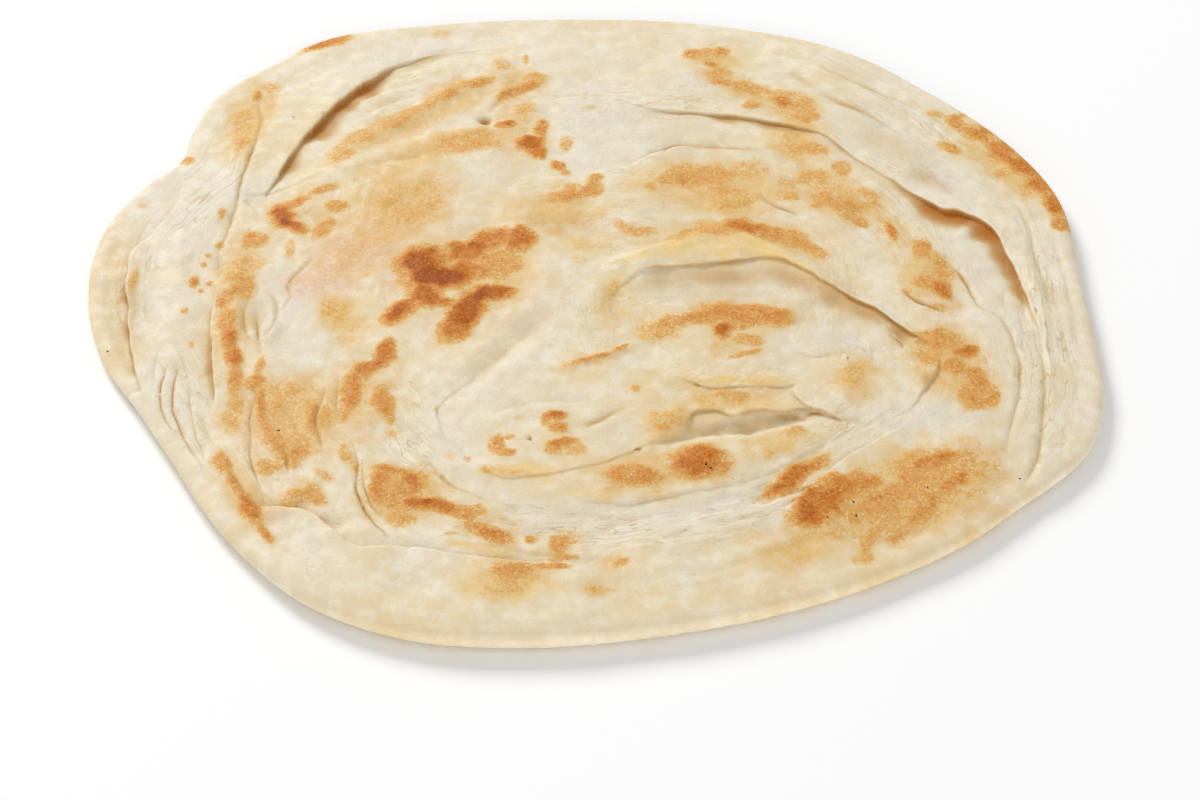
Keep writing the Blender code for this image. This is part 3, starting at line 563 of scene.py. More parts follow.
# Sunken and raised places: (x, y, half length, half width, tilt, depth or height).
HOLLOWS = (
    (24, 0, 17, 6.5, 0, 0.9), (44, -8, 12, 4.5, -38, 0.9), (28, -35.6, 12.5, 2.2, 13, 1.1),
    (-60, -6, 2.6, 5, 0, 0.5), (-43, -58.5, 3.4, 2.4, 40, 0.5), (-20, 52.6, 1.8, 1.6, 0, 1),
    (-9.6, -39.8, 0.6, 0.6, 0, 0.7), (70, 36, 10, 4, -40, 0.4), (-32, -42, 5, 5, 0, 0.4),
    (-18, -51, 7, 2.4, -25, 0.4), (26, -54, 10, 2, 18, 0.4), (-50, -57.5, 4, 1.4, 0, 0.4),
)
BULGES = (
    (14, -36, 4.5, 3.8, 0, 0.55), (26, -29.4, 6, 2.2, 0, 0.3), (46, -24, 9, 7, 0, 0.5),
    (19, -45.6, 5.4, 4.2, 10, 0.35), (8, -49, 5.6, 3.6, 0, 0.3), (-31, -52, 6, 5.4, 0, 0.3),
    (-49.4, -52.4, 2.6, 2.2, 0, 0.5), (-5, -38, 3.4, 5, 0, 0.3), (-12, -46, 7, 3.4, 0, 0.35),
    (-84, 8, 5, 20, 0, 0.3), (44, -52, 12, 7, 35, 0.4), (-26, 6, 9, 9, 0, 0.25),
)
# Painted shade: the pockets' floors, the valleys and the small holes.
SHADOWS = (
    (25, 4.6, 15, 4.6, 3, 0.38), (13, 3, 8, 3.4, 22, 0.3), (37, 3.8, 8, 4, -30, 0.38),
    (24, 0, 15, 4, 0, 0.2), (44.4, -1.2, 9.5, 4, -44, 0.42), (27, -35.6, 12, 2.6, 12, 0.36),
    (14, -39.6, 5, 1.6, 25, 0.24), (-16, -19, 10, 2, 51, 0.2), (58, 46, 14, 5, -50, 0.26),
    (64, 35, 8, 3.4, -46, 0.3), (66, 34, 6, 3, -48, 0.2), (50, 64, 8, 2, -45, 0.12),
    (-5, 20, 9, 5, 0, 0.26), (20, 8.8, 9, 1.3, 6, 0.16), (30, 9.8, 6, 1.3, -10, 0.18),
    (50.2, -5.9, 7, 2.4, -43, 0.46), (55.6, -10.8, 3.4, 1.6, -43, 0.52),
    (39.5, -32.7, 2.2, 0.6, -8, 0.66), (35.4, -33, 5, 1.1, -4, 0.48), (-9.6, -39.8, 0.55, 0.5, 0, 0.9),
    (-20, 52.6, 1.7, 1.5, 0, 0.75), (19.4, -26.2, 0.9, 0.3, -35, 0.8), (59.6, -23.6, 1.2, 2.4, -25, 0.4),
    (-82, -2, 1.6, 14, 6, 0.3), (4.4, -2.4, 2.8, 5.4, -22, 0.3), (19, 12.2, 6, 0.6, 24, 0.2),
    (32, 11.4, 6, 0.6, -26, 0.2), (-10, 0, 4, 6, 20, 0.14), (-33, 74.6, 9, 2.2, 32, 0.34),
    (26, 43.2, 10, 1.2, -3, 0.6), (-52.6, 4.5, 5.5, 1, 72, 0.26), (-59, -6, 1.6, 5, 0, 0.18),
    (-26, -32.2, 0.6, 1.6, 10, 0.4), (-24, -49.2, 0.5, 1, 30, 0.5), (8.9, -42.5, 0.8, 0.4, 20, 0.8),
)
# Where the layers show as fine streaks.
FLAKY = (
    (0, -61, 30, 4.5, 0, 0.9), (32, -54, 16, 4, 25, 1), (-70, -30, 6, 18, 0, 1), (82, -10, 6, 40, 0, 0.9),
    (-38, 66, 16, 6, 42, 0.7), (62, 56, 18, 8, -40, 0.8), (-52, -38, 9, 16, 0, 0.9),
    (-30, -42, 6, 12, 20, 0.8), (-70, 30, 8, 26, 0, 0.6), (12, 60, 26, 5, -5, 0.6),
    (-84, 0, 5, 26, 0, 0.7), (60, 20, 8, 20, 25, 0.5), (42, -40, 16, 3, 35, 0.7),
    (50, -16, 10, 4, 0, 0.6), (24, -24, 14, 3, 0, 0.5),
)
# Pinkish dough, a little underbaked.
PINK = (
    (-42, 12, 12, 8, 45, 1), (-48, 3, 8, 6, 0, 0.8), (-34, 20, 6, 4, 45, 0.8), (-52, -35, 8, 10, 0, 0.6),
    (-35, 5, 4, 8, 0, 0.5),
)


# ---------------------------------------------------------------- small helpers


def smooth_step(low, high, value):
    """0 at low, 1 at high, and a smooth change between them. Low may be the larger number."""
    share = np.clip((value - low) / (high - low), 0.0, 1.0)
    return share * share * (3.0 - 2.0 * share)


def noise_at(xy, size, seed):
    """Smooth noise from about -1 to 1, with bumps of the given size in mm."""
    places = np.column_stack([xy / size, np.full(len(xy), seed * 7.31)])
    return np.array([noise.noise(Vector(p)) for p in places.tolist()])


def rough_at(xy, size, octaves, seed):
    """Noise with finer octaves on top."""
    total = np.zeros(len(xy))
    for octave in range(octaves):
        total += noise_at(xy, size / 2**octave, seed + octave * 1.7) / 2**octave
    return total


def outline_radius(angle):
    """The bread's radius at an angle in degrees, on a smooth closed curve through OUTLINE."""
    angles = np.array([a for a, _ in OUTLINE], float)
    radii = np.array([r for _, r in OUTLINE])
    gaps = np.diff(np.append(angles, angles[0] + 360.0))
    before = np.roll(gaps, 1)
    slopes = (np.roll(radii, -1) - np.roll(radii, 1)) / (gaps + before)
    turned = (angle - angles[0]) % 360.0 + angles[0]
    i = np.searchsorted(angles, turned, side="right") - 1
    j = (i + 1) % len(angles)
    t = (turned - angles[i]) / gaps[i]
    return (
        (2 * t**3 - 3 * t**2 + 1) * radii[i]
        + (t**3 - 2 * t**2 + t) * gaps[i] * slopes[i]
        + (3 * t**2 - 2 * t**3) * radii[j]
        + (t**3 - t**2) * gaps[i] * slopes[j]
    )


def smooth_curve(points):
    """Rows (x, y, strength) every CURVE_STEP or so along a Catmull-Rom curve."""
    p = np.array(points, float)
    p = np.vstack([2 * p[0] - p[1], p, 2 * p[-1] - p[-2]])
    pieces = []
    for a, b, c, d in zip(p[:-3], p[1:-2], p[2:-1], p[3:]):
        count = max(2, round(float(np.linalg.norm((c - b)[:2])) / CURVE_STEP))
        t = np.linspace(0.0, 1.0, count, endpoint=False)[:, None]
        bent = (2 * a - 5 * b + 4 * c - d) * t**2 + (3 * b - a - 3 * c + d) * t**3
        pieces.append(0.5 * (2 * b + (c - a) * t + bent))
    curve = np.vstack([*pieces, p[-2:-1]])
    # The curve wavers a little, and its strength comes and goes.
    place = curve[:, :2].copy()
    for axis in (0, 1):
        curve[:, axis] += 0.4 * noise_at(place, 6.0, 41 + axis) + 0.16 * noise_at(place, 2.0, 43 + axis)
    curve[:, 2] *= 1.0 + 0.55 * noise_at(place, 6.0, 45)
    return curve


def normals(curve):
    """The unit normal to the left of a curve, at each of its points."""
    forward = np.gradient(curve[:, :2], axis=0)
    forward[1:-1] = (forward[:-2] + 2 * forward[1:-1] + forward[2:]) / 4
    forward /= np.linalg.norm(forward, axis=1)[:, None]
    return np.column_stack([-forward[:, 1], forward[:, 0]])


def beside(curve, xy):
    """For each point: distance to the left of the curve, strength there and the normal."""
    away = xy[:, None, :] - curve[None, :, :2]
    nearest = np.argmin((away**2).sum(2), axis=1)
    normal = normals(curve)[nearest]
    offset = xy - curve[nearest, :2]
    left = (offset * normal).sum(1)
    past = offset[:, 1] * normal[:, 0] - offset[:, 0] * normal[:, 1]
    end = (nearest == 0) | (nearest == len(curve) - 1)
    left = np.where(end, np.sign(left) * np.hypot(left, past), left)
    past_end = np.where(end, np.abs(past), 0.0)
    strength = np.clip(curve[nearest, 2], 0.0, 1.2) * np.exp(-((past_end / 2.5) ** 2))
    return left, strength, normal


def within(curve, xy, reach):
    """Which points lie in the curve's box, grown by reach."""
    low = curve[:, :2].min(0) - reach
    high = curve[:, :2].max(0) + reach
    return np.flatnonzero(((xy > low) & (xy < high)).all(1))


def patches(xy, bent, table, soft=0.45, spread=1.5, ragged_edge=0.0):
    """How strongly a table of ellipses covers each point, with ragged edges."""
    field = np.zeros(len(xy))
    ragged_edge = np.zeros(len(xy)) + ragged_edge
    for x, y, length, width, tilt, strength in table:
        near = np.flatnonzero(np.hypot(xy[:, 0] - x, xy[:, 1] - y) < 2.0 * max(length, width) + 2.5)
        ragged = min(1.0, min(length, width) / 2.6)
        away = xy[near] + bent[near] * ragged - (x, y)
        c, s = math.cos(math.radians(tilt)), math.sin(math.radians(tilt))
        u = (away[:, 0] * c + away[:, 1] * s) / length
        v = (away[:, 1] * c - away[:, 0] * s) / width
        cover = strength * smooth_step(spread, soft, np.hypot(u, v) + ragged * ragged_edge[near])
        # Overlapping patches run together without adding up.
        field[near] = (field[near] ** 4 + cover**4) ** 0.25
    return field


# ---------------------------------------------------------------- the top as a function of place


def polar(xy):
    """Share of the way from the middle to the outline, and the angle in radians."""
    turn = np.arctan2(xy[:, 1], xy[:, 0])
    return np.hypot(xy[:, 0], xy[:, 1]) / outline_radius(np.degrees(turn)), turn


def coil_place(xy):
    """Where each point lies in the coil: share from its middle to the rim, and the angle."""
    turn = np.radians(np.arange(0, 360, 0.5))
    radius = outline_radius(np.degrees(turn))
    ring = np.column_stack([radius * np.cos(turn), radius * np.sin(turn)]) - COIL_MIDDLE
    ring_angle = np.arctan2(ring[:, 1], ring[:, 0])
    order = np.argsort(ring_angle)
    away = xy - COIL_MIDDLE
    angle = np.arctan2(away[:, 1], away[:, 0])
    reach = np.interp(
        angle, ring_angle[order], np.linalg.norm(ring, axis=1)[order], period=2 * math.pi
    )
    return np.linalg.norm(away, axis=1) / reach, angle


def streaks(share, angle, across, along, seed):
    """Noise drawn out along the coil: across and along are the sizes of its bumps in mm."""
    ring = COIL_RADIUS / along
    places = np.column_stack(
        [np.cos(angle) * ring, np.sin(angle) * ring, share * COIL_RADIUS / across + seed * 11.3]
    )
    return np.array([noise.noise(Vector(p)) for p in places.tolist()])


def layer_relief(xy):
    """Height, sideways shift and painted shade (of slits and creases) from all ledges, creases and ridges.
    """
    height = np.zeros(len(xy))
    shift = np.zeros((len(xy), 2))
    shade = np.zeros(len(xy))
    for name, (points, sizes, slit) in LEDGES.items():
        rise, drop, up_reach, down_reach, overhang = sizes
        shade_amount, width = slit
        curve = smooth_curve(points)
        near = within(curve, xy, 3.2 * max(min(down_reach, 14.0), up_reach))
        left, strength, normal = beside(curve, xy[near])
        if name in TURNED_ROUND:
            left, normal = -left, -normal
        up = rise * np.exp(-np.maximum(left, 0.0) / up_reach)
        down = -drop * np.exp(np.minimum(left, 0.0) / down_reach)
        height[near] += strength * (down + (up - down) * smooth_step(-0.32, 0.32, left))
        # The lip hangs over the lower layer, and the wall under it draws back.
        bulge = np.exp(-(((left - 0.65) / 0.7) ** 2)) - 0.8 * np.exp(-(((left + 0.65) / 0.6) ** 2))
        shift[near] -= normal * (overhang * strength * bulge)[:, None]
        # Painted shade: dark in the gap under the lip, and a softer painted shade fading away from it.
        gap = width * strength**2 + 0.14
        under = np.clip(-left / gap, 0.0, None)
        shadow = shade_amount * strength * np.exp(-(under**3)) * smooth_step(0.35, -0.15, left)
        fading = np.exp(np.minimum(left, 0.0) / min(0.45 * down_reach, 5.0))
        shadow = np.maximum(shadow, 0.62 * shade_amount * strength * fading * smooth_step(0.1, -0.4, left))
        shade[near] = np.maximum(shade[near], shadow)
    for points, (depth, half_width, shade_amount) in CREASES.values():
        curve = smooth_curve(points)
        near = within(curve, xy, 4 * half_width)
        left, strength, _ = beside(curve, xy[near])
        groove = np.exp(-((left / half_width) ** 2))
        height[near] -= depth * strength * groove
        banks = np.exp(-(((np.abs(left) - 1.7 * half_width) / half_width) ** 2))
        height[near] += 0.3 * depth * strength * banks
        # Painted shade along the groove's floor.
        shade[near] = np.maximum(shade[near], shade_amount * strength * np.exp(-((left / (0.7 * half_width)) ** 2)))
    for points, (tall, left_width, right_width) in RIDGES.values():
        curve = smooth_curve(points)
        near = within(curve, xy, 3 * max(left_width, right_width))
        left, strength, _ = beside(curve, xy[near])
        half_width = np.where(left > 0, left_width, right_width)
        height[near] += tall * strength * np.exp(-((left / half_width) ** 2))
    return height, shift, shade


def top_surface(xy):
    """Everything about the top at each place: height, shift, tones and place in the coil."""
    share, turn = polar(xy)
    rim = RIM_HEIGHT + RIM_WAVE * np.sin(3 * turn + 0.6) * share**4
    base = rim + (CROWN_HEIGHT - RIM_HEIGHT) * (1.0 - share**CROWN_POWER)
    height, shift, shade = layer_relief(xy)

    # What the tables say, with the places bent so that no edge is an ellipse.
    bent = np.column_stack([
        1.1 * noise_at(xy, 4.6, 1) + 0.7 * noise_at(xy, 1.7, 2),
        1.1 * noise_at(xy, 4.6, 3) + 0.7 * noise_at(xy, 1.7, 4),
    ])
    rags = 0.15 * rough_at(xy, 2.2, 2, 51)
    brown = patches(xy, bent, BROWN, 0.5, 1.55, rags)
    brown = np.maximum(brown, patches(xy, 2.0 * bent, HAZE, 0.0, 1.3))
    tan = patches(xy, 2.0 * bent, TAN, 0.3, 1.5)
    oily = patches(xy, 2.5 * bent, OILY, 0.3, 1.5)
    mealy = patches(xy, 2.5 * bent, MEALY, 0.3, 1.5)
    pink = patches(xy, 2.0 * bent, PINK, 0.1, 1.4)
    lip_glow = patches(xy, 0.7 * bent, PAINTED_LIP_GLOW, 0.5, 1.4)
    halo = patches(xy, 1.5 * bent, BROWN, 0.5, 2.0)
    brown = np.maximum(brown, 0.32 * np.clip(halo, 0, 1))
    height -= patches(xy, bent, HOLLOWS, 0.3, 1.3)
    height += patches(xy, bent, BULGES, 0.1, 1.3)
    # Painted shade from the table of shaded places.
    shade = np.maximum(shade, patches(xy, 0.6 * bent, SHADOWS, 0.1, 1.3))

    # Folds along the coil, then tones and relief that no table gives.
    coil_share, coil_turn = coil_place(xy)
    fold = streaks(coil_share, coil_turn, 2.8, 34.0, 5)
    fine_fold = streaks(coil_share, coil_turn, 1.3, 15.0, 6)
    broad = streaks(coil_share, coil_turn, 8.0, 60.0, 7)
    flaky = patches(xy, 3.0 * bent, FLAKY, 0.2, 1.4)
    flaky = np.maximum(flaky, 0.4 * smooth_step(0.0, 0.5, noise_at(xy, 15.0, 8)))
    flaky = flaky * smooth_step(0.985, 0.93, share)
    line = smooth_step(0.14, 0.0, np.abs(fold)) * flaky
    oily = np.maximum(oily, 0.9 * np.clip(halo, 0, 1))
    oily = np.maximum(oily, 0.35 * smooth_step(0.0, 0.55, 0.7 * broad + 0.6 * rough_at(xy, 11.0, 2, 12)))
    mealy = np.maximum(mealy, 0.3 * smooth_step(0.0, 0.5, 0.6 * fold + 0.6 * rough_at(xy, 13.0, 2, 14)))
    grain = 0.27 * rough_at(xy, 2.4, 3, 16) + (0.03 + 0.1 * flaky) * fold
    grain *= smooth_step(1.0, 0.5, brown)
    brown = np.clip(brown * (1.0 + grain) + 0.12 * grain * smooth_step(0.03, 0.4, brown), 0.0, 1.0)
    # Painted shade along the fold lines.
    shade = np.maximum(shade, 0.13 * line)
    calm = smooth_step(1.0, 0.93, share)
    height += calm * (
        -0.26 * line
        + 0.12 * flaky * fine_fold
        + 0.35 * broad
        + 0.55 * noise_at(xy, 14.0, 9)
        + 0.26 * rough_at(xy, 5.4, 3, 10)
        + 0.25 * smooth_step(0.15, 0.9, brown)
    )
    edge = smooth_step(1.0, 0.955, share)
    coil = np.column_stack([np.cos(coil_turn), np.sin(coil_turn), coil_share])
    # Among the tones, shade is painted shade and the thin lips' tone is a painted glow of light.
    tones = {"brown": brown, "oily": oily, "mealy": mealy, "tan": tan, "pink": pink, "lip_glow": lip_glow,
             "shade": shade * edge, "flaky": flaky}
    return base + height * edge, shift * edge[:, None], tones, coil


def foot_height(share, turn):
    """The underside's height: flat in the middle, lifting towards the rim."""
    lift = RIM_LIFT + RIM_LIFT_WAVE * np.sin(2 * turn + 1.1)
    return lift * smooth_step(FOOT_SHARE, 1.0, share)


# ---------------------------------------------------------------- the net of triangles


def rim_ring(inset):
    """RIM_POINTS points round the bread, this far in from its outline."""
    turn = np.linspace(0.0, 2 * math.pi, RIM_POINTS, endpoint=False)
    radius = outline_radius(np.degrees(turn)) - inset
    return np.column_stack([radius * np.cos(turn), radius * np.sin(turn)])


def hexagonal(step):
    """A hexagonal grid of points over the bread's square."""
    rows = []
    for k, y in enumerate(np.arange(-GRID_REACH, GRID_REACH, step * math.sqrt(3) / 2)):
        x = np.arange(-GRID_REACH, GRID_REACH, step) + (0.5 * step if k % 2 else 0.0)
        rows.append(np.column_stack([x, np.full(len(x), y)]))
    return np.vstack(rows)


def rows_along(points, offsets):
    """Points in rows beside a curve, and how far each lies from it."""
    curve = smooth_curve(points)
    count = max(2, round((len(curve) - 1) * CURVE_STEP / ROW_STEP))
    pick = np.round(np.linspace(0, len(curve) - 1, count + 1)).astype(int)
    normal = normals(curve)[pick]
    placed = [curve[pick, :2] + normal * offset for offset in offsets]
    return np.vstack(placed), np.repeat(np.abs(offsets), len(pick))


def thinned(points, reach):
    """The points in order, less each one closer than its reach to one kept before it."""
    tree = kdtree.KDTree(len(points))
    for i, (x, y) in enumerate(points.tolist()):
        tree.insert((x, y, 0.0), i)
    tree.balance()
    kept = np.ones(len(points), bool)
    for i, (x, y) in enumerate(points.tolist()):
        for _, j, _ in tree.find_range((x, y, 0.0), float(reach[i])):
            if j < i and kept[j]:
                kept[i] = False
                break
    return points[kept]


def inside(points, margin):
    """Which points lie inside the outline by more than the margin."""
    turn = np.degrees(np.arctan2(points[:, 1], points[:, 0]))
    return np.hypot(points[:, 0], points[:, 1]) < outline_radius(turn) - margin


def triangulate(ring, inner):
    """Triangles over a ring and the points in it, as indices into the two, ring first."""
    points = np.vstack([ring, inner])
    loop = list(range(len(ring)))
    made = delaunay_2d_cdt([Vector(p) for p in points.tolist()], [], [loop], 1, 1e-6)
    source = [origins[0] for origins in made[3]]
    return points, [[source[i] for i in face] for face in made[2]]


def top_points():
    """The places of the top's points: rows beside every curve, then a grid between them."""
    rows, reach = [], []
    for table, offsets in ((LEDGES, LEDGE_ROWS), (CREASES, CREASE_ROWS)):
        for entry in table.values():
            placed, away = rows_along(entry[0], offsets)
            order = np.argsort(away, kind="stable")
            rows.append(placed[order])
            reach.append(np.where(away[order] < 0.5, CLOSEST, 0.3))
    grid = hexagonal(NET_STEP)
    rows.append(grid)
    reach.append(np.full(len(grid), 0.48))
    rows, reach = np.vstack(rows), np.concatenate(reach)
    keep = inside(rows, EDGE_ROUNDING + 0.35)
    return thinned(rows[keep], reach[keep])


def bread_mesh(middle):
    """The whole closed bread: top, rounded edge and underside."""
    ring = rim_ring(EDGE_ROUNDING)
    xy, top_faces = triangulate(ring, top_points())
    height, shift, tones, coil = top_surface(xy)
    places = [np.column_stack([xy + shift, height])]
    tones = {name: [values] for name, values in tones.items()}
    coils = [coil]
    faces = list(top_faces)

    ring_top = height[:RIM_POINTS]
    outward = ring / np.linalg.norm(ring, axis=1)[:, None]
    before = np.arange(RIM_POINTS)
    count = len(xy)
    for turn in np.linspace(math.pi / 2, -math.pi / 2, EDGE_ROWS)[1:]:
        row = ring + outward * EDGE_ROUNDING * math.cos(turn)
        share, angle = polar(row)
        low = foot_height(np.minimum(share, 1.0), angle)
        level = 0.5 + 0.5 * math.sin(turn)
        places.append(np.column_stack([row, low + level * (ring_top - low)]))
        for values in tones.values():
            values.append(values[0][:RIM_POINTS].copy())
        coils.append(coil[:RIM_POINTS])
        under = 0.1 * (1.0 - level) * (1 + noise_at(row, 9.0, 21))
        tones["brown"][-1] = np.maximum(tones["brown"][-1] * level, under)
        now = count + np.arange(RIM_POINTS)
        turned_on = np.roll(now, -1)
        faces += np.column_stack([before, now, turned_on, np.roll(before, -1)]).tolist()
        before = now
        count += RIM_POINTS

    grid = hexagonal(FOOT_STEP)
    below = grid[inside(grid, EDGE_ROUNDING + 1.6)]
    _, foot_faces = triangulate(ring, below)
    share, turn = polar(below)
    places.append(np.column_stack([below, foot_height(share, turn)]))
    spots = smooth_step(-0.05, 0.6, rough_at(below, 16.0, 3, 31))
    for name, values in tones.items():
        plain = 0.3 if name == "oily" else 0.0
        values.append(0.75 * spots if name == "brown" else np.full(len(below), plain))
    below_share, below_turn = coil_place(below)
    coils.append(np.column_stack([np.cos(below_turn), np.sin(below_turn), below_share]))
    number = np.concatenate([before, count + np.arange(len(below))])
    faces += [[int(number[i]) for i in reversed(face)] for face in foot_faces]

    placed = np.vstack(places)
    placed[:, :2] -= middle
    mesh = bpy.data.meshes.new("bread")
    mesh.from_pydata((placed * MM).tolist(), [], faces)
    for name, values in tones.items():
        layer = mesh.attributes.new(name, "FLOAT", "POINT")
        layer.data.foreach_set("value", np.concatenate(values))
    layer = mesh.attributes.new("coil", "FLOAT_VECTOR", "POINT")
    layer.data.foreach_set("vector", np.vstack(coils).ravel())
    mesh.shade_smooth()
    mesh.update()
    return mesh


def outline_middle():
    """The middle of the outline's box, which the CAD model has at its origin."""
    ring = rim_ring(0.0)
    return (ring.min(0) + ring.max(0)) / 2


# ---------------------------------------------------------------- materials


class Nodes:
    """Adds nodes to a material and joins them, in the order of the work."""

    def __init__(self, material):
        material.use_nodes = True
        self.tree = material.node_tree
        self.shader = self.tree.nodes["Principled BSDF"]

    def add(self, kind, **settings):
        """A new node of a kind, with its settings."""
        node = self.tree.nodes.new(kind)
        for name, value in settings.items():
            setattr(node, name, value)
        return node

    def join(self, source, target):
        """A link from a node's output to another one's input."""
        self.tree.links.new(source, target)

    def attribute(self, name):
        """One of the tones that top_surface gives each point."""
        return self.add("ShaderNodeAttribute", attribute_name=name).outputs["Fac"]

    def grain(self, place, size, detail=3.0, roughness=0.6):
        """Noise with bumps of a size in mm, from 0 to 1."""
        texture = self.add("ShaderNodeTexNoise")
        texture.inputs["Scale"].default_value = 1.0 / (size * MM)
        texture.inputs["Detail"].default_value = detail
        texture.inputs["Roughness"].default_value = roughness
        self.join(place, texture.inputs["Vector"])
        return texture.outputs["Fac"]

    def coil_grain(self, across, along):
        """Noise drawn out along the coil, from 0 to 1, with bumps of two sizes in mm."""
        coil = self.add("ShaderNodeAttribute", attribute_name="coil").outputs["Vector"]
        scaled = self.add("ShaderNodeVectorMath", operation="MULTIPLY")
        self.join(coil, scaled.inputs[0])
        scaled.inputs[1].default_value = (COIL_RADIUS / along, COIL_RADIUS / along, COIL_RADIUS / across)
        texture = self.add("ShaderNodeTexNoise")
        texture.inputs["Scale"].default_value = 1.0
        texture.inputs["Detail"].default_value = 3.0
        self.join(scaled.outputs["Vector"], texture.inputs["Vector"])
        return texture.outputs["Fac"]

    def math(self, operation, a, b=0.5, c=0.0, clamp=False):
        """Arithmetic on one to three values, each a number or a node's output."""
        node = self.add("ShaderNodeMath", operation=operation, use_clamp=clamp)
        for socket, value in zip(node.inputs, (a, b, c)):
            if isinstance(value, (int, float)):
                socket.default_value = value
            else:
                self.join(value, socket)
        return node.outputs[0]

    def times(self, a, b):
        """One value times another."""
        return self.math("MULTIPLY", a, b)

    def ramp(self, value, low, high, to_low=0.0, to_high=1.0):
        """A smooth change from to_low to to_high as the value goes from low to high."""
        node = self.add("ShaderNodeMapRange", interpolation_type="SMOOTHSTEP")
        node.inputs["From Min"].default_value = low
        node.inputs["From Max"].default_value = high
        node.inputs["To Min"].default_value = to_low
        node.inputs["To Max"].default_value = to_high
        self.join(value, node.inputs["Value"])
        return node.outputs["Result"]

    def mix(self, share, first, second):
        """The first colour with a share of the second over it."""
        node = self.add("ShaderNodeMix", data_type="RGBA")
        colours = [s for s in node.inputs if s.type == "RGBA"]
        self.join(share, node.inputs[0])
        for socket, value in zip(colours, (first, second)):
            if isinstance(value, tuple):
                socket.default_value = srgb(*value)
            else:
                self.join(value, socket)
        return next(s for s in node.outputs if s.type == "RGBA")


def srgb(red, green, blue):
    """A colour given in 0 to 255, as Blender's linear numbers."""
    linear = []
    for value in (red, green, blue):
        v = value / 255
        linear.append(v / 12.92 if v <= 0.04045 else ((v + 0.055) / 1.055) ** 2.4)
    return (*linear, 1.0)


# Tones of the crust, in 0 to 255, with the painted light and shade among them.
CREAM = (236, 225, 203)
WARM_CREAM = (230, 213, 180)
MILKY = (239, 231, 213)
STRAW = (225, 209, 178)
CHALK = (240, 232, 213)
BUTTER = (229, 199, 136)
FLOUR = (225, 216, 198)
TOAST = (219, 173, 104)
# Painted light: the glow of thin lips.
LIP_GLOW_TONE = (238, 208, 138)
BLUSH = (224, 171, 141)
LAYER_DARK = (214, 188, 142)
LAYER_PALE = (243, 234, 214)
# Painted shade and painted highlight at the steps of the flakes.
FLAKE_SHADE = (200, 168, 116)
FLAKE_HIGHLIGHT = (244, 236, 218)
PALE_FLECK = (236, 198, 134)
# Painted highlight: glints on the crust.
PAINTED_GLINT = (250, 226, 176)
# Painted shade: the tones of the hollows and of the slits.
PAINTED_HOLLOW_SHADE = (203, 170, 110)
PAINTED_SLIT_SHADE = (184, 112, 32)
CHAR = (70, 42, 20)
# How the dough browns: (amount of browning, tone).
BROWNING = (
    (0.0, (232, 205, 148)), (0.25, (226, 188, 124)), (0.42, (219, 170, 96)), (0.6, (216, 156, 82)),
    (0.8, (205, 130, 48)), (0.92, (186, 102, 12)), (1.0, (160, 74, 0)),
)


def dough_colour(n, mottle, speckle, cloud, broad_streak):
    """Cream dough with its oily, mealy, lightly baked and pink places, and the painted glow of thin lips.
    """
    colour = n.mix(n.ramp(cloud, 0.35, 0.65), CREAM, WARM_CREAM)
    colour = n.mix(n.ramp(broad_streak, 0.5, 0.7, 0.0, 0.5), colour, MILKY)
    colour = n.mix(n.ramp(mottle, 0.45, 0.62, 0.0, 0.5), colour, STRAW)
    colour = n.mix(n.ramp(mottle, 0.5, 0.36, 0.0, 0.5), colour, CHALK)
    oily = n.times(n.attribute("oily"), n.ramp(mottle, 0.3, 0.6, 0.5, 1.0))
    colour = n.mix(n.times(oily, 0.95), colour, BUTTER)
    mealy = n.times(n.attribute("mealy"), n.ramp(mottle, 0.35, 0.6, 0.45, 1.0))
    colour = n.mix(n.times(mealy, 0.85), colour, FLOUR)
    tan = n.times(n.attribute("tan"), n.ramp(mottle, 0.32, 0.62, 0.4, 1.0))
    colour = n.mix(n.times(tan, 0.9), colour, TOAST)
    # Painted light: thin lips glow yellow, as if lit through from behind.
    colour = n.mix(n.times(n.attribute("lip_glow"), 0.85), colour, LIP_GLOW_TONE)
    pink = n.times(n.attribute("pink"), n.ramp(speckle, 0.4, 0.6, 0.4, 1.0))
    return n.mix(n.times(pink, 0.85), colour, BLUSH)


def layered_colour(n, colour, streak, flaky, flakes, flake_mask):
    """Fine streaks along the coil, where the layers show, and flake edges with a painted highlight and
    painted shade at their steps.
    """
    colour = n.mix(n.times(flaky, n.ramp(streak, 0.55, 0.7, 0.0, 0.5)), colour, LAYER_DARK)
    colour = n.mix(n.times(flaky, n.ramp(streak, 0.47, 0.34, 0.0, 0.6)), colour, LAYER_PALE)
    colour = n.mix(n.times(flake_mask, n.ramp(flakes, 0.78, 0.96, 0.0, 0.75)), colour, FLAKE_SHADE)
    return n.mix(n.times(flake_mask, n.ramp(flakes, 0.25, 0.0, 0.0, 0.5)), colour, FLAKE_HIGHLIGHT)


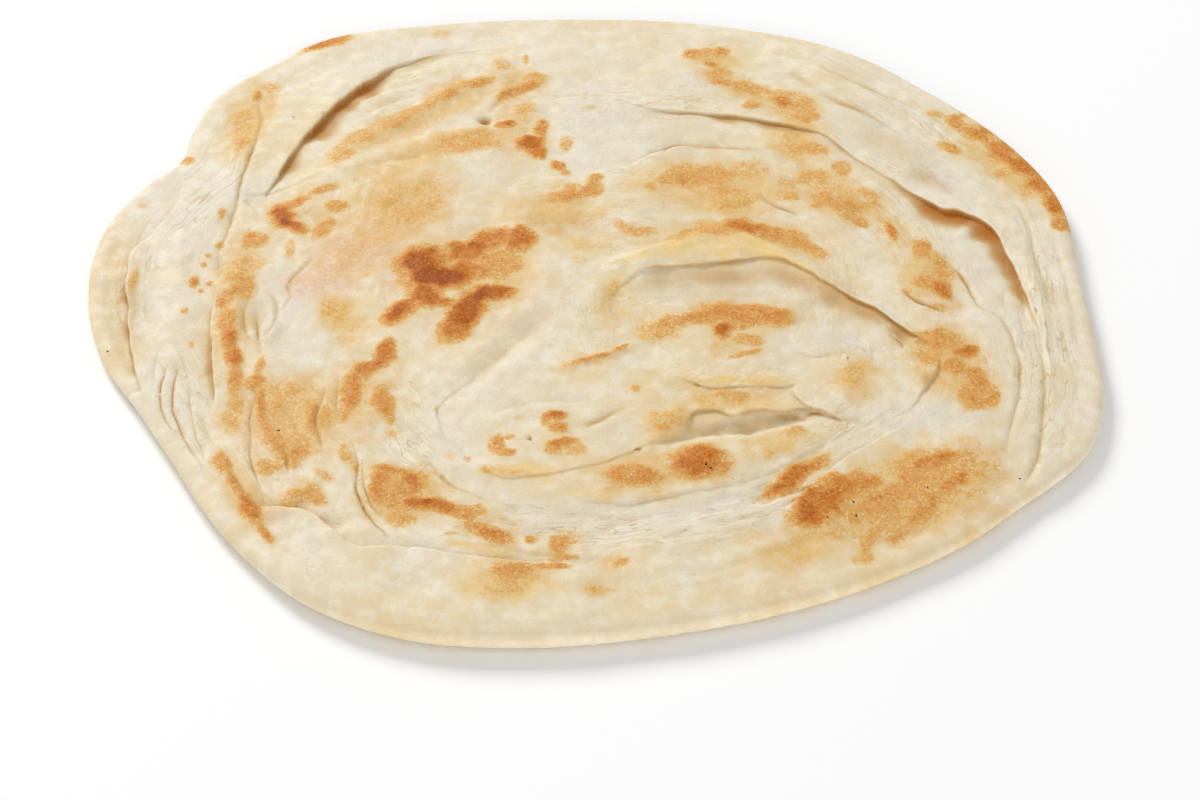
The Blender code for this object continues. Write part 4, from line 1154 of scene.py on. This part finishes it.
def browned_colour(n, colour, place, fine, speckle):
    """Griddle browning over the dough, grained, with pale flecks and painted glints of light in it."""
    brown = n.attribute("brown")
    coarse_grain = n.times(n.math("SUBTRACT", speckle, 0.5), 0.8)
    fine_grain = n.times(n.math("SUBTRACT", fine, 0.5), 0.45)
    where = n.times(n.ramp(brown, 0.08, 0.45), n.ramp(brown, 0.95, 0.6, 0.4, 1.0))
    grained = n.times(n.math("ADD", coarse_grain, fine_grain), where)
    baked = n.math("ADD", brown, grained, clamp=True)
    crust = n.add("ShaderNodeValToRGB")
    ramp = crust.color_ramp
    for amount, _ in BROWNING[1:-1]:
        ramp.elements.new(amount)
    for element, (amount, tone) in zip(ramp.elements, BROWNING):
        element.position = amount
        element.color = srgb(*tone)
    n.join(baked, crust.inputs["Fac"])
    colour = n.mix(n.ramp(baked, 0.03, 0.45), colour, crust.outputs["Color"])
    flecks = n.ramp(n.grain(place, 0.75, 2.0, 0.5), 0.55, 0.68, 0.0, 0.3)
    flecks = n.times(n.times(flecks, n.ramp(brown, 0.15, 0.5)), n.ramp(brown, 0.95, 0.7, 0.25, 1.0))
    colour = n.mix(flecks, colour, PALE_FLECK)
    # Painted highlights: small glints on the browned crust, with pale granules among them.
    painted_glints = n.ramp(n.grain(place, 0.42, 1.0, 0.5), 0.6, 0.72, 0.0, 0.6)
    painted_glints = n.times(n.times(painted_glints, n.ramp(brown, 0.12, 0.4)), n.ramp(brown, 0.9, 0.55, 0.3, 1.0))
    return n.mix(painted_glints, colour, PAINTED_GLINT)


def shaded_colour(n, colour):
    """Painted shade: a warm one in the hollows, and a darker one in the slits."""
    shade = n.attribute("shade")
    colour = n.mix(n.ramp(shade, 0.0, 0.5, 0.0, 0.8), colour, PAINTED_HOLLOW_SHADE)
    return n.mix(n.ramp(shade, 0.22, 0.85, 0.0, 0.95), colour, PAINTED_SLIT_SHADE)


def crust_material():
    """Dough that is cream, oily or mealy, browned where it met the griddle."""
    material = bpy.data.materials.new("crust")
    n = Nodes(material)
    place = n.add("ShaderNodeTexCoord").outputs["Object"]
    fine = n.grain(place, 0.5, 2.0, 0.55)
    speckle = n.grain(place, 0.8, 3.0, 0.65)
    mottle = n.grain(place, 3.0, 4.0, 0.6)
    cloud = n.grain(place, 14.0, 3.0, 0.5)
    streak = n.coil_grain(1.2, 16.0)
    broad_streak = n.coil_grain(4.0, 40.0)
    flaky = n.attribute("flaky")
    flakes = n.math("FRACT", n.times(n.coil_grain(5.0, 36.0), 9.0))
    flake_mask = n.times(flaky, n.ramp(broad_streak, 0.4, 0.56))

    colour = dough_colour(n, mottle, speckle, cloud, broad_streak)
    colour = layered_colour(n, colour, streak, flaky, flakes, flake_mask)
    colour = browned_colour(n, colour, place, fine, speckle)
    n.join(shaded_colour(n, colour), n.shader.inputs["Base Color"])
    n.join(n.ramp(mottle, 0.3, 0.7, 0.5, 0.7), n.shader.inputs["Roughness"])
    n.shader.inputs["Specular IOR Level"].default_value = 0.17
    n.shader.inputs["Subsurface Weight"].default_value = 0.45
    n.shader.inputs["Subsurface Radius"].default_value = (1.0, 0.6, 0.3)
    n.shader.inputs["Subsurface Scale"].default_value = 0.0014

    crumb = n.times(n.grain(place, 1.5, 3.0, 0.6), n.attribute("mealy"))
    relief = n.math("ADD", n.times(fine, 0.5), n.times(speckle, 0.45))
    relief = n.math("ADD", relief, n.times(streak, n.times(flaky, 1.6)))
    relief = n.math("ADD", relief, n.times(crumb, 1.2))
    relief = n.math("SUBTRACT", relief, n.times(flakes, n.times(flake_mask, 0.9)))
    bump = n.add("ShaderNodeBump")
    bump.inputs["Strength"].default_value = 0.7
    bump.inputs["Distance"].default_value = 0.0003
    n.join(relief, bump.inputs["Height"])
    n.join(bump.outputs["Normal"], n.shader.inputs["Normal"])
    return material


def plain_material(name, colour, roughness):
    """One plain tone with a faint grain."""
    material = bpy.data.materials.new(name)
    n = Nodes(material)
    place = n.add("ShaderNodeTexCoord").outputs["Object"]
    grain = n.grain(place, 0.4, 2.0)
    darker = tuple(int(0.93 * c) for c in colour)
    n.join(n.mix(n.ramp(grain, 0.35, 0.65), darker, colour), n.shader.inputs["Base Color"])
    n.shader.inputs["Roughness"].default_value = roughness
    return material


# ---------------------------------------------------------------- pieces


def link(name, mesh, material):
    """A mesh object in the scene, with its material."""
    piece = bpy.data.objects.new(name, mesh)
    bpy.context.scene.collection.objects.link(piece)
    mesh.materials.append(material)
    return piece


def make_specks(middle):
    """Small charred crumbs, pressed into the top."""
    height = top_surface(np.array(SPECKS)[:, :2])[0]
    speck = bpy.data.meshes.new("char_specks")
    build = bmesh.new()
    for (x, y, length, width, tilt), z in zip(SPECKS, height):
        made = bmesh.ops.create_icosphere(build, subdivisions=2, radius=1.0)
        turn = Matrix.Rotation(math.radians(tilt), 4, "Z")
        place = Vector((x - middle[0], y - middle[1], z))
        for vert in made["verts"]:
            lump = 1.0 + 0.35 * noise.noise(1.6 * vert.co + place)
            size = Vector((SPECK_SCALE * length, SPECK_SCALE * width, SPECK_HEIGHT)) * lump
            vert.co = (place + turn @ (vert.co * size)) * MM
    build.to_mesh(speck)
    build.free()
    speck.shade_smooth()
    piece = link("char_specks", speck, plain_material("char", CHAR, 0.7))
    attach(piece, "root")


def make_bread(middle):
    """The bread itself, in place of the CAD model's one node."""
    bread = link("bread", bread_mesh(middle), crust_material())
    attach(bread, "root")
    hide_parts("paratha")


# ---------------------------------------------------------------- floor, light and camera

# The floor's side in metres, and each lamp's place and size in metres and power in watts.
FLOOR_SIZE = 6.0
KEY_LAMP = ((-1.0, 1.7, 1.24), 0.9, 39.5)
FRONT_LAMP = ((0.4, -2.2, 0.75), 1.6, 25.0)
SKY_STRENGTH = 0.5
# The camera's place, in the same millimetres as the tables, and how far down it looks in degrees.
CAMERA_PLACE = (2.46, -419.4, 352.4)
CAMERA_PITCH = 41.6
CAMERA_LENS = 90.0


def make_stage(floor_height):
    """A pale floor that runs out of sight."""
    bpy.ops.mesh.primitive_plane_add(size=FLOOR_SIZE, location=(0.0, 0.0, floor_height))
    floor = bpy.context.object
    floor.name = "floor"
    material = bpy.data.materials.new("floor")
    material.use_nodes = True
    shader = material.node_tree.nodes["Principled BSDF"]
    shader.inputs["Base Color"].default_value = (0.98, 0.98, 0.98, 1.0)
    shader.inputs["Roughness"].default_value = 0.6
    shader.inputs["Specular IOR Level"].default_value = 0.2
    floor.data.materials.append(material)


def area_light(name, place, size, power):
    """A round lamp that shines at the bread: place and size in metres, power in watts."""
    lamp = bpy.data.lights.new(name, "AREA")
    lamp.shape = "DISK"
    lamp.size = size
    lamp.energy = power
    light = bpy.data.objects.new(name, lamp)
    light.location = place
    light.rotation_euler = (-Vector(place)).to_track_quat("-Z", "Y").to_euler()
    bpy.context.scene.collection.objects.link(light)


def make_light():
    """A white studio: a key lamp behind on the left, a weaker one in front and an even sky."""
    world = bpy.data.worlds.new("studio")
    world.use_nodes = True
    sky = world.node_tree.nodes["Background"]
    sky.inputs["Color"].default_value = (1.0, 1.0, 1.0, 1.0)
    sky.inputs["Strength"].default_value = SKY_STRENGTH
    bpy.context.scene.world = world
    area_light("key", *KEY_LAMP)
    area_light("front", *FRONT_LAMP)
    bpy.context.scene.view_settings.view_transform = "Standard"


def make_camera(middle, height):
    """A long lens in front of the bread and above it."""
    data = bpy.data.cameras.new("camera")
    data.lens = CAMERA_LENS
    data.sensor_width = 36.0
    data.clip_start = 0.01
    camera = bpy.data.objects.new("camera", data)
    x, y, z = CAMERA_PLACE
    camera.location = ((x - middle[0]) * MM, (y - middle[1]) * MM, z * MM + height)
    camera.rotation_euler = (math.radians(90.0 - CAMERA_PITCH), 0.0, 0.0)
    bpy.context.scene.collection.objects.link(camera)
    bpy.context.scene.camera = camera


def main():
    """The frame first, then the studio and the bread."""
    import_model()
    floor_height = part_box("paratha")[0].z
    middle = outline_middle()
    make_camera(middle, floor_height)
    make_light()
    make_stage(floor_height)
    make_bread(middle)
    make_specks(middle)


main()
